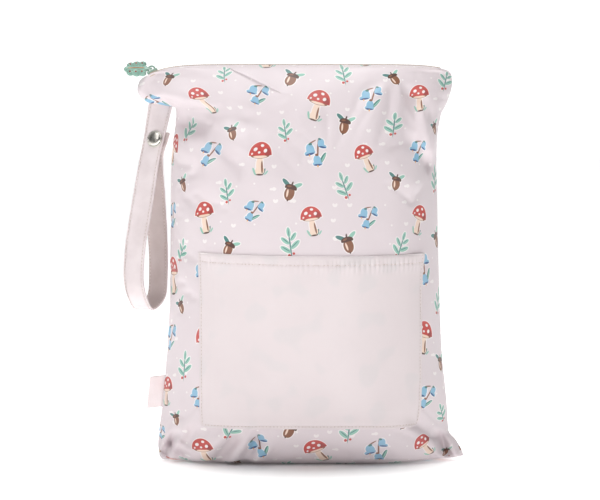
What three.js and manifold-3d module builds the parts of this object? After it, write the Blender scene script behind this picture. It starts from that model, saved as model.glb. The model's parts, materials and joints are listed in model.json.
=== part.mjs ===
import * as THREE from "three";
import { mergeVertices } from "three/addons/utils/BufferGeometryUtils.js";
import Module from "manifold-3d";

// Waterproof zip bag, packed full and standing on its base.
// Millimetres. +Z is up, -Y is the front and +X is to the right of the front.
// The origin is the middle of the base, on the floor.

const wasm = await Module();
wasm.setup();

// Driving dimensions
const GAP = 0.3; // clearance between neighbouring pieces
const CLOTH = 1.2; // wall of the panels and of the pocket
const HALF_COLUMNS = 12; // cells from the middle of a panel to a side seam
const RIM_SWEEP = 8; // how late a section leaves its middle height for its rim
const SEAM_HOLD = 30; // reach over which the bottom seam and the zip hold a fold flat
const RIM_HOLD = 2.5; // how fast a fold deepens away from a side seam
const LEFT = -1;
const RIGHT = 1;

// Sections of the packed bag, from the bottom seam up over the belly to the zip.
// front, back: y of each panel on the centre line, and mid: its height there
// left, right: reach of the side seams, at the heights leftZ and rightZ
// box: 2 is an ellipse and more is boxier, rim: 0.5 is a round side and 1 a flat ear
const SECTIONS = [
  { front: 4, back: 4, mid: 0, left: 104, leftZ: 2, right: 120, rightZ: 5, box: 5, rim: 1 },
  { front: -14, back: 20, mid: 0, left: 108, leftZ: 7, right: 119, rightZ: 8, box: 5, rim: 0.95 },
  { front: -28, back: 31, mid: 0.4, left: 109.5, leftZ: 14, right: 115, rightZ: 15, box: 5, rim: 0.85 },
  { front: -39, back: 40, mid: 11, left: 109, leftZ: 22, right: 109, rightZ: 22, box: 4, rim: 0.7 },
  { front: -47, back: 46.5, mid: 40, left: 106, leftZ: 40, right: 107.5, rightZ: 42, box: 3, rim: 0.6 },
  { front: -53, back: 50, mid: 92, left: 101.5, leftZ: 88, right: 102.5, rightZ: 88, box: 2.5, rim: 0.53 },
  { front: -55, back: 51, mid: 150, left: 100.5, leftZ: 150, right: 100, rightZ: 150, box: 2.4, rim: 0.5 },
  { front: -51, back: 48, mid: 200, left: 100, leftZ: 202, right: 99.5, rightZ: 202, box: 2.4, rim: 0.5 },
  { front: -43, back: 40, mid: 238, left: 98.5, leftZ: 242, right: 100, rightZ: 240, box: 2.4, rim: 0.55 },
  { front: -36, back: 33.5, mid: 258, left: 97, leftZ: 265.5, right: 103.5, rightZ: 258, box: 2.4, rim: 0.62 },
  { front: -30, back: 27.5, mid: 270, left: 116, leftZ: 268, right: 108.5, rightZ: 269, box: 2.6, rim: 0.75 },
  { front: -22, back: 20.5, mid: 283, left: 124.5, leftZ: 278, right: 111.5, rightZ: 282, box: 3, rim: 0.8 },
  { front: -16, back: 15.5, mid: 291.5, left: 121.5, leftZ: 285.8, right: 111, rightZ: 288.5, box: 5, rim: 0.9 },
  { front: -9, back: 9, mid: 296, left: 117.5, leftZ: 287.5, right: 108.5, rightZ: 292, box: 20, rim: 1 },
];
const COLUMNS = ["front", "back", "mid", "left", "leftZ", "right", "rightZ", "box", "rim"];
const ROW_PITCH = 16; // height of a row of cells, at most

// Folds of the cloth, each a soft valley on a line through x, z.
// angle: degrees up from +X, length and width of the valley, depth: into the bag
const FOLDS = [
  { panel: "front", x: -80, z: 248, angle: -28, length: 46, width: 11, depth: 9 },
  { panel: "front", x: -54, z: 220, angle: -72, length: 56, width: 13, depth: 4 },
  { panel: "front", x: -90, z: 166, angle: -66, length: 46, width: 8, depth: 4 },
  { panel: "front", x: 77, z: 258, angle: 78, length: 44, width: 10, depth: 8 },
  { panel: "front", x: 84, z: 232, angle: -42, length: 30, width: 9, depth: 4 },
  { panel: "front", x: -33, z: 283, angle: -27, length: 36, width: 6, depth: 2 },
  { panel: "front", x: 72, z: 56, angle: 84, length: 60, width: 12, depth: 4 },
  { panel: "front", x: -56, z: 12, angle: 48, length: 24, width: 7, depth: 4 },
  { panel: "front", x: -36, z: 11, angle: 52, length: 22, width: 7, depth: 3 },
  { panel: "back", x: 70, z: 250, angle: 34, length: 50, width: 12, depth: 8 },
  { panel: "back", x: -68, z: 252, angle: -40, length: 50, width: 12, depth: 8 },
  { panel: "back", x: 40, z: 18, angle: -50, length: 30, width: 8, depth: 4 },
];

// Patch pocket on the lower front: heights of its foot and mouth, reach of its sides there
const POCKET = { footZ: 26, mouthZ: 155, rows: 14, columns: 18, seat: 0.65 };
const POCKET_REACH = { footLeft: -79.5, footRight: 87.5, mouthLeft: -82.5, mouthRight: 90.5 };
const POCKET_PUCKER = { count: 5, height: 1.4, reach: 0.16 };

// Zip: coil between two tapes, its slider at the left end
const TAPE_THICKNESS = 0.9;
const COIL = { half: 2.5, shoulder: 1.5, below: 1, above: 1.2, end: 0.945, stations: 28 };
const TAPE_END = 0.968; // share of the zip's reach that the tapes cover
const SLIDER = { x: -112, length: 8, width: 8, plate: 1, flange: 1, tapeGap: 0.4 };
const BRIDGE = { half: 3, rise: 3.6, wall: 1.2, width: 1.6 };
const PULL = { bar: 0.7, barSides: 10, arm: 1, armLength: 4.5, yoke: 2, clear: 0.45, rest: 21 };
const CHARM = { length: 16, stem: 2.8, lobe: 3.4, lobes: 3, thickness: 3.4, bevel: 0.8, roll: 52 };
const LOBE_STEPS = 8; // corners of the outline along one lobe

// Wrist strap: a flat strip looped on itself; turn is how far its face is turned to the left
const STRAP = { width: 18, thickness: 1.6, stepsPerSpan: 4, endGap: 0.5 };
const STRAP_ROUTE = [
  { x: -106.6, y: 0, z: 265.6, turn: 0 },
  { x: -108.5, y: -1.8, z: 256, turn: 6 },
  { x: -111.5, y: -3.6, z: 241, turn: 10 },
  { x: -114.5, y: -5.4, z: 226, turn: 14 },
  { x: -120.5, y: -10, z: 195, turn: 22 },
  { x: -125.6, y: -13.5, z: 162, turn: 30 },
  { x: -127, y: -13.5, z: 137, turn: 34 },
  { x: -117.8, y: -0.5, z: 116.2, turn: 34 },
  { x: -109.4, y: 12, z: 136, turn: 34 },
  { x: -109.6, y: 12.5, z: 162, turn: 30 },
  { x: -111, y: 7.5, z: 195, turn: 22 },
];
const SNAP_STATION = 2; // the route's row that carries the press stud
const STRAP_TAIL = [
  { rise: -15, shift: 1.6, turn: 14 },
  { rise: 0, shift: 2, turn: 10 },
  { rise: 7, shift: 2.4, turn: 8 },
];
const SNAP = { radius: 6.4, rise: 2.4, backRadius: 5.4, backThickness: 1.2, post: 1.6, sides: 16 };
// Profile of the stud's cap, as shares of its radius and rise
const CAP_PROFILE = [
  { out: 0, up: 0 },
  { out: 0.94, up: 0 },
  { out: 1, up: 0.2 },
  { out: 0.92, up: 0.5 },
  { out: 0.6, up: 0.9 },
  { out: 0, up: 1 },
];

// Folded cloth tag in the left side seam
const LABEL = { lowZ: 40, highZ: 64, reach: 11, thickness: 1, seat: 0.5, steps: 4 };

// Smooth interpolation of the section table, with no overshoot between its rows

function monotoneSlopes(places, values) {
  const secants = [];
  for (let i = 0; i + 1 < values.length; i += 1) {
    secants.push((values[i + 1] - values[i]) / (places[i + 1] - places[i]));
  }
  return values.map((value, i) => {
    const before = secants[Math.max(i - 1, 0)];
    const after = secants[Math.min(i, secants.length - 1)];
    return before * after <= 0 ? 0 : (2 * before * after) / (before + after);
  });
}

const places = [0];
for (let i = 1; i < SECTIONS.length; i += 1) {
  const run = SECTIONS[i].front - SECTIONS[i - 1].front;
  const rise = SECTIONS[i].mid - SECTIONS[i - 1].mid;
  places.push(places[i - 1] + Math.hypot(run, rise));
}
const clothLength = places[places.length - 1];
const slopes = {};
for (const column of COLUMNS) {
  slopes[column] = monotoneSlopes(places, SECTIONS.map((row) => row[column]));
}

function sectionAt(place) {
  let i = 0;
  while (i + 2 < places.length && places[i + 1] < place) {
    i += 1;
  }
  const span = places[i + 1] - places[i];
  const s = (place - places[i]) / span;
  const section = {};
  for (const column of COLUMNS) {
    const from = SECTIONS[i][column];
    const to = SECTIONS[i + 1][column];
    const out = slopes[column][i] * span;
    const into = slopes[column][i + 1] * span;
    const bend = s * s * (3 - 2 * s);
    section[column] = from + (to - from) * bend + s * (1 - s) * (out * (1 - s) - into * s);
  }
  return section;
}

function placeAtHeight(height) {
  let low = places[2];
  let high = clothLength;
  for (let i = 0; i < 40; i += 1) {
    const middle = (low + high) / 2;
    if (sectionAt(middle).mid < height) {
      low = middle;
    } else {
      high = middle;
    }
  }
  return low;
}

// Outer surface of a panel: place runs up the cloth, across from -1 at the left seam to 1

function foldDepth(panel, x, z) {
  let depth = 0;
  for (const fold of FOLDS) {
    if (fold.panel === panel) {
      const angle = THREE.MathUtils.degToRad(fold.angle);
      const along = (x - fold.x) * Math.cos(angle) + (z - fold.z) * Math.sin(angle);
      const aside = (z - fold.z) * Math.cos(angle) - (x - fold.x) * Math.sin(angle);
      const end = Math.pow((2 * along) / fold.length, 4);
      depth += fold.depth * Math.exp(-Math.pow(aside / fold.width, 2) - end);
    }
  }
  return depth;
}

function panelPoint(panel, place, across) {
  const section = sectionAt(place);
  const side = across < 0 ? "left" : "right";
  const reach = Math.abs(across);
  const full = Math.pow(Math.max(0, 1 - Math.pow(reach, section.box)), section.rim);
  const x = across * section[side];
  const z = section.mid + (section[`${side}Z`] - section.mid) * Math.pow(reach, RIM_SWEEP);
  const outward = panel === "front" ? -1 : 1;
  const held = Math.min(1, RIM_HOLD * full, place / SEAM_HOLD, (clothLength - place) / SEAM_HOLD);
  const dent = foldDepth(panel, x, z) * held;
  return new THREE.Vector3(x, section[panel] * full + outward * (GAP / 2 - dent), z);
}

function panelNormal(panel, place, across) {
  const step = 0.004;
  const reach = 0.5;
  const low = Math.max(place - reach, 0);
  const high = Math.min(place + reach, clothLength);
  const alongCloth = panelPoint(panel, high, across).sub(panelPoint(panel, low, across));
  const alongRow = panelPoint(panel, place, Math.min(across + step, 1));
  alongRow.sub(panelPoint(panel, place, Math.max(across - step, -1)));
  const normal = alongRow.cross(alongCloth).normalize();
  return panel === "front" ? normal : normal.negate();
}

// Closed bodies from rows of points

function closedBody(points, triangles) {
  let volume = 0;
  for (let i = 0; i < triangles.length; i += 3) {
    const [a, b, c] = triangles.slice(i, i + 3).map((index) => points[index]);
    volume += a.dot(b.clone().cross(c)) / 6;
  }
  const geometry = new THREE.BufferGeometry();
  geometry.setFromPoints(points);
  geometry.setIndex(volume < 0 ? triangles.reverse() : triangles);
  return geometry;
}

function closedSheet(outer, inner) {
  const rows = outer.length;
  const columns = outer[0].length;
  const at = (layer, row, column) => (layer * rows + row) * columns + column;
  const triangles = [];
  const quad = (a, b, c, d) => triangles.push(a, b, c, a, c, d);
  const lastRow = rows - 1;
  const lastColumn = columns - 1;
  for (let r = 0; r < lastRow; r += 1) {
    for (let c = 0; c < lastColumn; c += 1) {
      quad(at(0, r, c), at(0, r, c + 1), at(0, r + 1, c + 1), at(0, r + 1, c));
      quad(at(1, r, c), at(1, r + 1, c), at(1, r + 1, c + 1), at(1, r, c + 1));
    }
    quad(at(0, r, 0), at(0, r + 1, 0), at(1, r + 1, 0), at(1, r, 0));
    quad(at(1, r, lastColumn), at(1, r + 1, lastColumn), at(0, r + 1, lastColumn), at(0, r, lastColumn));
  }
  for (let c = 0; c < lastColumn; c += 1) {
    quad(at(1, 0, c), at(1, 0, c + 1), at(0, 0, c + 1), at(0, 0, c));
    quad(at(0, lastRow, c), at(0, lastRow, c + 1), at(1, lastRow, c + 1), at(1, lastRow, c));
  }
  return closedBody([...outer.flat(), ...inner.flat()], triangles);
}

function loft(rings) {
  const sides = rings[0].length;
  const triangles = [];
  for (let i = 0; i + 1 < rings.length; i += 1) {
    for (let k = 0; k < sides; k += 1) {
      const next = (k + 1) % sides;
      const a = i * sides + k;
      const b = i * sides + next;
      triangles.push(a, b, b + sides, a, b + sides, a + sides);
    }
  }
  const top = (rings.length - 1) * sides;
  for (let k = 1; k + 1 < sides; k += 1) {
    triangles.push(0, k + 1, k);
    triangles.push(top, top + k, top + k + 1);
  }
  return closedBody(rings.flat(), triangles);
}

// Joining and cutting of closed geometries

function toSolid(geometry) {
  const bare = geometry.clone();
  bare.deleteAttribute("normal");
  bare.deleteAttribute("uv");
  const merged = mergeVertices(bare, 1e-4);
  const mesh = new wasm.Mesh({
    numProp: 3,
    vertProperties: new Float32Array(merged.attributes.position.array),
    triVerts: new Uint32Array(merged.index.array),
  });
  return new wasm.Manifold(mesh);
}

function toGeometry(solid) {
  const mesh = solid.getMesh();
  const geometry = new THREE.BufferGeometry();
  geometry.setAttribute("position", new THREE.BufferAttribute(mesh.vertProperties, 3));
  geometry.setIndex(new THREE.BufferAttribute(mesh.triVerts, 1));
  return geometry;
}

function joined(geometries) {
  const solids = geometries.map(toSolid);
  return toGeometry(solids.reduce((whole, piece) => whole.add(piece)));
}

function box(lengthX, lengthY, lengthZ, x, y, z) {
  return new THREE.BoxGeometry(lengthX, lengthY, lengthZ).translate(x, y, z);
}

// Panels: an outer and an inner face, with a rim along every edge

const rowPlaces = [];
for (let i = 0; i + 1 < places.length; i += 1) {
  const span = places[i + 1] - places[i];
  const steps = Math.max(2, Math.ceil(span / ROW_PITCH - 0.5));
  for (let k = 0; k < steps; k += 1) {
    rowPlaces.push(places[i] + (span * k) / steps);
  }
}
rowPlaces.push(clothLength);
const lastRow = rowPlaces.length - 1;

// Columns crowd a little towards the side seams, where a section bends most
const rowAcross = [];
for (let i = -HALF_COLUMNS; i <= HALF_COLUMNS; i += 1) {
  const share = i / HALF_COLUMNS;
  rowAcross.push(0.5 * share + 0.5 * Math.sin((share * Math.PI) / 2));
}

// The cloth at a side seam turns in, square to the seam, by the wall's thickness
function seamInset(panel, row, side) {
  const inset = new THREE.Vector3();
  if (row === 0 || row === lastRow) {
    inset.set(-side, 0, row === 0 ? 1 : -1);
  } else {
    const below = panelPoint(panel, rowPlaces[row - 1], side);
    const above = panelPoint(panel, rowPlaces[row + 1], side);
    const seam = above.sub(below).normalize();
    inset.set(-side * seam.z, 0, side * seam.x);
  }
  return inset.multiplyScalar(CLOTH);
}

function panelGeometry(panel) {
  const outward = panel === "front" ? -1 : 1;
  const outer = rowPlaces.map((place) => rowAcross.map((across) => panelPoint(panel, place, across)));
  const inner = rowPlaces.map((place, r) => rowAcross.map((across, c) => {
    const point = outer[r][c].clone();
    if (Math.abs(across) === 1) {
      return point.add(seamInset(panel, r, across));
    }
    if (r === 0 || r === lastRow) {
      return point.setZ(point.z + (r === 0 ? CLOTH : -CLOTH));
    }
    const leastDepth = Math.min(GAP / 2, outward * point.y);
    point.addScaledVector(panelNormal(panel, place, across), -CLOTH);
    point.y = outward * Math.max(outward * point.y, leastDepth);
    return point;
  }));
  return closedSheet(outer, inner);
}

// Pocket: lies on the front panel, its mouth puckered along the hem

function pocketGeometry() {
  const foot = placeAtHeight(POCKET.footZ);
  const mouth = placeAtHeight(POCKET.mouthZ);
  const layer = (lift) => {
    const rows = [];
    for (let r = 0; r <= POCKET.rows; r += 1) {
      const up = r / POCKET.rows;
      const place = THREE.MathUtils.lerp(foot, mouth, up);
      const section = sectionAt(place);
      const from = THREE.MathUtils.lerp(POCKET_REACH.footLeft, POCKET_REACH.mouthLeft, up) / section.left;
      const to = THREE.MathUtils.lerp(POCKET_REACH.footRight, POCKET_REACH.mouthRight, up) / section.right;
      const near = Math.max(0, 1 - (1 - up) / POCKET_PUCKER.reach);
      const row = [];
      for (let c = 0; c <= POCKET.columns; c += 1) {
        const share = c / POCKET.columns;
        const across = THREE.MathUtils.lerp(from, to, share);
        const wave = Math.pow(Math.sin(share * Math.PI * POCKET_PUCKER.count), 2);
        const height = lift + near * wave * POCKET_PUCKER.height;
        const point = panelPoint("front", place, across);
        row.push(point.addScaledVector(panelNormal("front", place, across), height));
      }
      rows.push(row);
    }
    return rows;
  };
  return closedSheet(layer(POCKET.seat + CLOTH), layer(POCKET.seat));
}

// Zip line along the top of the bag

const zipSection = sectionAt(clothLength);

function zipHeight(x) {
  return panelPoint("front", clothLength, x / (x < 0 ? zipSection.left : zipSection.right)).z;
}

function zipX(across) {
  return across * (across < 0 ? zipSection.left : zipSection.right);
}

function tapeGeometry(panel) {
  const outward = panel === "front" ? -1 : 1;
  const stations = rowAcross.map((across) => THREE.MathUtils.clamp(across, -TAPE_END, TAPE_END));
  const last = rowAcross.length - 1;
  const sewnEdge = (i) => {
    const inside = THREE.MathUtils.clamp(i, 1, last - 1);
    const edge = Math.abs(panelPoint(panel, clothLength, rowAcross[inside]).y);
    const share = (1 - Math.abs(stations[i])) / (1 - Math.abs(rowAcross[inside]));
    return edge * share - (i === inside ? GAP : 3 * GAP);
  };
  const rings = stations.map((across, i) => {
    const x = zipX(across);
    const top = zipHeight(x);
    const near = i === 0 || i === last ? GAP / 2 : COIL.half + GAP;
    const far = sewnEdge(i);
    const corner = (y, drop) => new THREE.Vector3(x, outward * y, top - drop);
    return [corner(near, 0), corner(far, 0), corner(far, TAPE_THICKNESS), corner(near, TAPE_THICKNESS)];
  });
  return loft(rings);
}

function coilGeometry() {
  const rings = [];
  for (let i = 0; i <= COIL.stations; i += 1) {
    const x = zipX(COIL.end * ((2 * i) / COIL.stations - 1));
    const middle = zipHeight(x);
    const corner = (y, rise) => new THREE.Vector3(x, y, middle + rise);
    rings.push([
      corner(-COIL.half, -COIL.below),
      corner(COIL.half, -COIL.below),
      corner(COIL.half, COIL.above / 2),
      corner(COIL.shoulder, COIL.above),
      corner(-COIL.shoulder, COIL.above),
      corner(-COIL.half, COIL.above / 2),
    ]);
  }
  return loft(rings);
}

// Slider, in a frame that lies along the zip: the zip line is at z 0

const plateFloor = COIL.above + GAP;
const plateTop = plateFloor + SLIDER.plate;
const hingeRise = plateTop + PULL.clear + PULL.bar;

function sliderGeometry() {
  const flangeRise = plateFloor - SLIDER.tapeGap + SLIDER.plate / 2;
  const flangeY = (SLIDER.width - SLIDER.flange) / 2;
  const plate = box(SLIDER.length, SLIDER.width, SLIDER.plate, 0, 0, plateFloor + SLIDER.plate / 2);
  const flanges = [LEFT, RIGHT].map((side) => {
    const z = SLIDER.tapeGap + flangeRise / 2;
    return box(SLIDER.length, SLIDER.flange, flangeRise, 0, side * flangeY, z);
  });
  const arch = new THREE.Shape();
  const foot = -SLIDER.plate / 2;
  arch.moveTo(-BRIDGE.half, foot);
  arch.lineTo(BRIDGE.half, foot);
  arch.lineTo(BRIDGE.half, BRIDGE.rise - BRIDGE.wall);
  arch.quadraticCurveTo(BRIDGE.half, BRIDGE.rise, 0, BRIDGE.rise);
  arch.quadraticCurveTo(-BRIDGE.half, BRIDGE.rise, -BRIDGE.half, BRIDGE.rise - BRIDGE.wall);
  const eye = new THREE.Path();
  const eyeHalf = BRIDGE.half - BRIDGE.wall;
  const eyeRise = BRIDGE.rise - BRIDGE.wall;
  eye.moveTo(-eyeHalf, 0);
  eye.lineTo(-eyeHalf, eyeRise);
  eye.lineTo(eyeHalf, eyeRise);
  eye.lineTo(eyeHalf, 0);
  arch.holes.push(eye);
  const flat = { depth: BRIDGE.width, bevelEnabled: false, curveSegments: 4 };
  const bridge = new THREE.ExtrudeGeometry(arch, flat);
  bridge.translate(0, 0, -BRIDGE.width / 2).rotateX(Math.PI / 2).translate(0, 0, plateTop);
  return joined([plate, ...flanges, bridge]);
}

// Pull, in a frame with the hinge along Y at its origin; it points along -X

function charmOutline() {
  const points = [];
  const steps = CHARM.lobes * LOBE_STEPS;
  for (let i = 0; i <= steps; i += 1) {
    const share = i / steps;
    const bulge = Math.pow(Math.abs(Math.sin(share * Math.PI * CHARM.lobes)), 0.7);
    const taper = Math.sqrt(1 - Math.pow(share, 6));
    points.push(new THREE.Vector2(-share * CHARM.length, (CHARM.stem + CHARM.lobe * bulge) * taper));
  }
  const back = points.slice(0, -1).map((point) => new THREE.Vector2(point.x, -point.y));
  return new THREE.Shape([...points, ...back.reverse()]);
}

function pullGeometry() {
  const armY = BRIDGE.width / 2 + PULL.clear + PULL.arm / 2;
  const span = 2 * armY + PULL.arm;
  const bar = new THREE.CylinderGeometry(PULL.bar, PULL.bar, span, PULL.barSides);
  const arms = [LEFT, RIGHT].map((side) => {
    const length = PULL.armLength + PULL.bar;
    return box(length, PULL.arm, 2 * PULL.bar, PULL.bar - length / 2, side * armY, 0);
  });
  const yoke = box(PULL.yoke, span, 2 * PULL.bar, -PULL.armLength - PULL.bar, 0, 0);
  const depth = CHARM.thickness - 2 * CHARM.bevel;
  const bevel = { bevelThickness: CHARM.bevel, bevelSize: CHARM.bevel, bevelOffset: -CHARM.bevel };
  const charm = new THREE.ExtrudeGeometry(charmOutline(), { depth, bevelSegments: 1, ...bevel });
  charm.translate(0, 0, -depth / 2).rotateX(THREE.MathUtils.degToRad(CHARM.roll));
  charm.translate(-PULL.armLength, 0, 0);
  return joined([bar, ...arms, yoke, charm]);
}

// Strap: a strip that follows its route, with a hole for the press stud in each band

function curveThrough(rows) {
  return new THREE.CatmullRomCurve3(rows.map((row) => new THREE.Vector3(row.x, row.y, row.z)));
}

function stripFrame(curve, rows, share) {
  const index = Math.min(share * (rows.length - 1), rows.length - 1);
  const from = Math.min(Math.floor(index), rows.length - 2);
  const turn = THREE.MathUtils.lerp(rows[from].turn, rows[from + 1].turn, index - from);
  const angle = THREE.MathUtils.degToRad(turn);
  const point = curve.getPoint(share);
  const tangent = curve.getTangent(share);
  const across = new THREE.Vector3(Math.cos(angle), -Math.sin(angle), 0);
  across.addScaledVector(tangent, -across.dot(tangent)).normalize();
  const face = tangent.clone().cross(across);
  return { point, tangent, across, face };
}

const frontBand = curveThrough(STRAP_ROUTE);
const snapFrame = stripFrame(frontBand, STRAP_ROUTE, SNAP_STATION / (STRAP_ROUTE.length - 1));
const bandPitch = STRAP.thickness + STRAP.endGap;

// The free end lies behind the front band, square to it at the press stud
const strapRows = [
  ...STRAP_ROUTE,
  ...STRAP_TAIL.map((row) => {
    const point = snapFrame.point.clone().addScaledVector(snapFrame.face, -bandPitch);
    point.addScaledVector(snapFrame.tangent, -row.rise).addScaledVector(snapFrame.across, row.shift);
    return { x: point.x, y: point.y, z: point.z, turn: row.turn };
  }),
];

function snapPlaced(geometry, lift) {
  const place = snapFrame.point.clone().addScaledVector(snapFrame.face, lift);
  const turn = new THREE.Quaternion().setFromUnitVectors(new THREE.Vector3(0, 1, 0), snapFrame.face);
  return geometry.applyQuaternion(turn).translate(place.x, place.y, place.z);
}

function strapGeometry() {
  const curve = curveThrough(strapRows);
  const steps = (strapRows.length - 1) * STRAP.stepsPerSpan;
  const rings = [];
  for (let i = 0; i <= steps; i += 1) {
    const { point, across, face } = stripFrame(curve, strapRows, i / steps);
    const corner = (side, layer) => point.clone()
      .addScaledVector(across, (side * STRAP.width) / 2)
      .addScaledVector(face, (layer * STRAP.thickness) / 2);
    rings.push([corner(LEFT, 1), corner(RIGHT, 1), corner(RIGHT, -1), corner(LEFT, -1)]);
  }
  const holeRadius = SNAP.post + GAP;
  const hole = new THREE.CylinderGeometry(holeRadius, holeRadius, 6 * STRAP.thickness, SNAP.sides);
  const cutter = toSolid(snapPlaced(hole, -bandPitch / 2));
  return toGeometry(toSolid(loft(rings)).subtract(cutter));
}

// Press stud: a domed cap in front, a disc with a post behind

const capSeat = STRAP.thickness / 2 + GAP;
const backSeat = -(bandPitch + STRAP.thickness / 2 + GAP);

function capGeometry() {
  const profile = CAP_PROFILE.map((row) => new THREE.Vector2(row.out * SNAP.radius, row.up * SNAP.rise));
  return snapPlaced(new THREE.LatheGeometry(profile, SNAP.sides), capSeat);
}

function studGeometry() {
  const postTop = capSeat - GAP - backSeat;
  const profile = [
    new THREE.Vector2(0, -SNAP.backThickness),
    new THREE.Vector2(SNAP.backRadius, -SNAP.backThickness),
    new THREE.Vector2(SNAP.backRadius, 0),
    new THREE.Vector2(SNAP.post, 0),
    new THREE.Vector2(SNAP.post, postTop),
    new THREE.Vector2(0, postTop),
  ];
  return snapPlaced(new THREE.LatheGeometry(profile, SNAP.sides), backSeat);
}

// Tag: a thin plate that stands out of the left seam and follows its slope

function seamReach(height) {
  const points = rowPlaces.map((place) => panelPoint("front", place, LEFT));
  const i = points.findIndex((point, k) => k > 2 && point.z >= height);
  const share = (height - points[i - 1].z) / (points[i].z - points[i - 1].z);
  return -THREE.MathUtils.lerp(points[i - 1].x, points[i].x, share);
}

function labelGeometry() {
  const half = LABEL.thickness / 2;
  const rings = [];
  for (let i = 0; i <= LABEL.steps; i += 1) {
    const z = THREE.MathUtils.lerp(LABEL.lowZ, LABEL.highZ, i / LABEL.steps);
    const near = -seamReach(z) - LABEL.seat;
    const far = near - LABEL.reach;
    rings.push([
      new THREE.Vector3(near, -half, z),
      new THREE.Vector3(far, -half, z),
      new THREE.Vector3(far - half, 0, z),
      new THREE.Vector3(far, half, z),
      new THREE.Vector3(near, half, z),
    ]);
  }
  return loft(rings);
}

// Assembly

function piece(name, geometry, color, roughness, metalness) {
  const mesh = new THREE.Mesh(geometry, new THREE.MeshStandardMaterial({ color, roughness, metalness }));
  mesh.name = name;
  return mesh;
}

const bag = new THREE.Group();
bag.add(piece("front_panel", panelGeometry("front"), 0xe8dedf, 0.55, 0));
bag.add(piece("back_panel", panelGeometry("back"), 0xe8dedf, 0.55, 0));
bag.add(piece("pocket", pocketGeometry(), 0xece4e3, 0.55, 0));
bag.add(piece("zip_tape_front", tapeGeometry("front"), 0xcdbcae, 0.8, 0));
bag.add(piece("zip_tape_back", tapeGeometry("back"), 0xcdbcae, 0.8, 0));
bag.add(piece("zip_coil", coilGeometry(), 0xd8c9bb, 0.45, 0));
bag.add(piece("strap", strapGeometry(), 0xe6dcdb, 0.6, 0));
bag.add(piece("snap_cap", capGeometry(), 0xc9c9c8, 0.25, 1));
bag.add(piece("snap_stud", studGeometry(), 0xc9c9c8, 0.3, 1));
bag.add(piece("label", labelGeometry(), 0xefe6e4, 0.7, 0));

// The slider lies along the zip at its left end, and the pull leans over the corner
const zipStep = 0.5;
const zipRise = zipHeight(SLIDER.x + zipStep) - zipHeight(SLIDER.x - zipStep);
const zipSlope = Math.atan2(zipRise, 2 * zipStep);
const sliderSeat = new THREE.Group();
sliderSeat.position.set(SLIDER.x, 0, zipHeight(SLIDER.x));
sliderSeat.rotation.y = -zipSlope;
sliderSeat.add(piece("zip_slider", sliderGeometry(), 0xb9cdbf, 0.4, 0.2));
const pull = piece("zip_pull", pullGeometry(), 0x97bda6, 0.5, 0);
pull.position.z = hingeRise;
pull.rotation.y = THREE.MathUtils.degToRad(PULL.rest);
sliderSeat.add(pull);
bag.add(sliderSeat);

export default bag;
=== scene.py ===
import json
import math

import bmesh
import bpy
import numpy as np
from mathutils import Matrix, Vector


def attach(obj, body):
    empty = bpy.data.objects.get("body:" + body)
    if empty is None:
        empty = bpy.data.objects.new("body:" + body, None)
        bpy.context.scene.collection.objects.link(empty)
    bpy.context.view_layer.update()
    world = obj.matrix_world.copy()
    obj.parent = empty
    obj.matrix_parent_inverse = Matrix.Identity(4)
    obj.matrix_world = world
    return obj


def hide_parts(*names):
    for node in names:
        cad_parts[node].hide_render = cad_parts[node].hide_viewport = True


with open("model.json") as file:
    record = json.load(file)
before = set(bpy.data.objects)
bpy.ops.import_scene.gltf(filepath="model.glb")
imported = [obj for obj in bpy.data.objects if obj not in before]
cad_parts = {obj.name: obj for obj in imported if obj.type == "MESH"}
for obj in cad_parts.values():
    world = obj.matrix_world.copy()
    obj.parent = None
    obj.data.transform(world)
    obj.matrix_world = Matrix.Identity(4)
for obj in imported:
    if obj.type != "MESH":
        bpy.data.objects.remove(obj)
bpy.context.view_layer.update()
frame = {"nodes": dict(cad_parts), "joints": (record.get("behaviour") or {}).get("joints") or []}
scene = bpy.context.scene
mm = 0.001
print("frame loaded, nodes:", len(frame["nodes"]))


def linkObject(name, data):
    made = bpy.data.objects.new(name, data)
    scene.collection.objects.link(made)
    return made


# Camera, floor and light

studio = {
    "target": (-2.25 * mm, 0, 158 * mm),
    "distance": 1.5,
    "elevation": 3,
    "seenWidth": 450 * mm,  # width of the picture at the bag
    "floorHalf": 40,
    "floorGlow": (0.05, 0.18, 0.0, 0.7),  # from and to this distance, from and to this strength
    "worldFade": (0.1, 0.9),
    "worldFront": 0.03,
    "worldBack": 1.15,
    "exposure": 0.04,
    "lamps": (  # name, place, size, power
        ("keyLamp", (-1.0, -1.2, 1.1), 0.6, 3.4),
        ("highLamp", (-0.6, -0.9, 1.7), 0.7, 7.0),
        ("topLamp", (-0.1, 0.0, 2.0), 1.0, 22),
        ("lowLamp", (0.15, -1.0, 0.06), 0.4, 2.1),
    ),
}


def makeCamera():
    angle = math.radians(studio["elevation"])
    target = Vector(studio["target"])
    back = Vector((0, -math.cos(angle), math.sin(angle)))
    data = bpy.data.cameras.new("camera")
    data.sensor_width = 36
    data.lens = data.sensor_width * studio["distance"] / studio["seenWidth"]
    camera = linkObject("camera", data)
    camera.location = target + back * studio["distance"]
    camera.rotation_euler = (-back).to_track_quat("-Z", "Y").to_euler()
    scene.camera = camera


def makeLamp(name, place, size, power):
    data = bpy.data.lights.new(name, "AREA")
    data.shape = "DISK"
    data.size = size
    data.energy = power
    lamp = linkObject(name, data)
    lamp.location = place
    towards = Vector(studio["target"]) - Vector(place)
    lamp.rotation_euler = towards.to_track_quat("-Z", "Y").to_euler()


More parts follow.
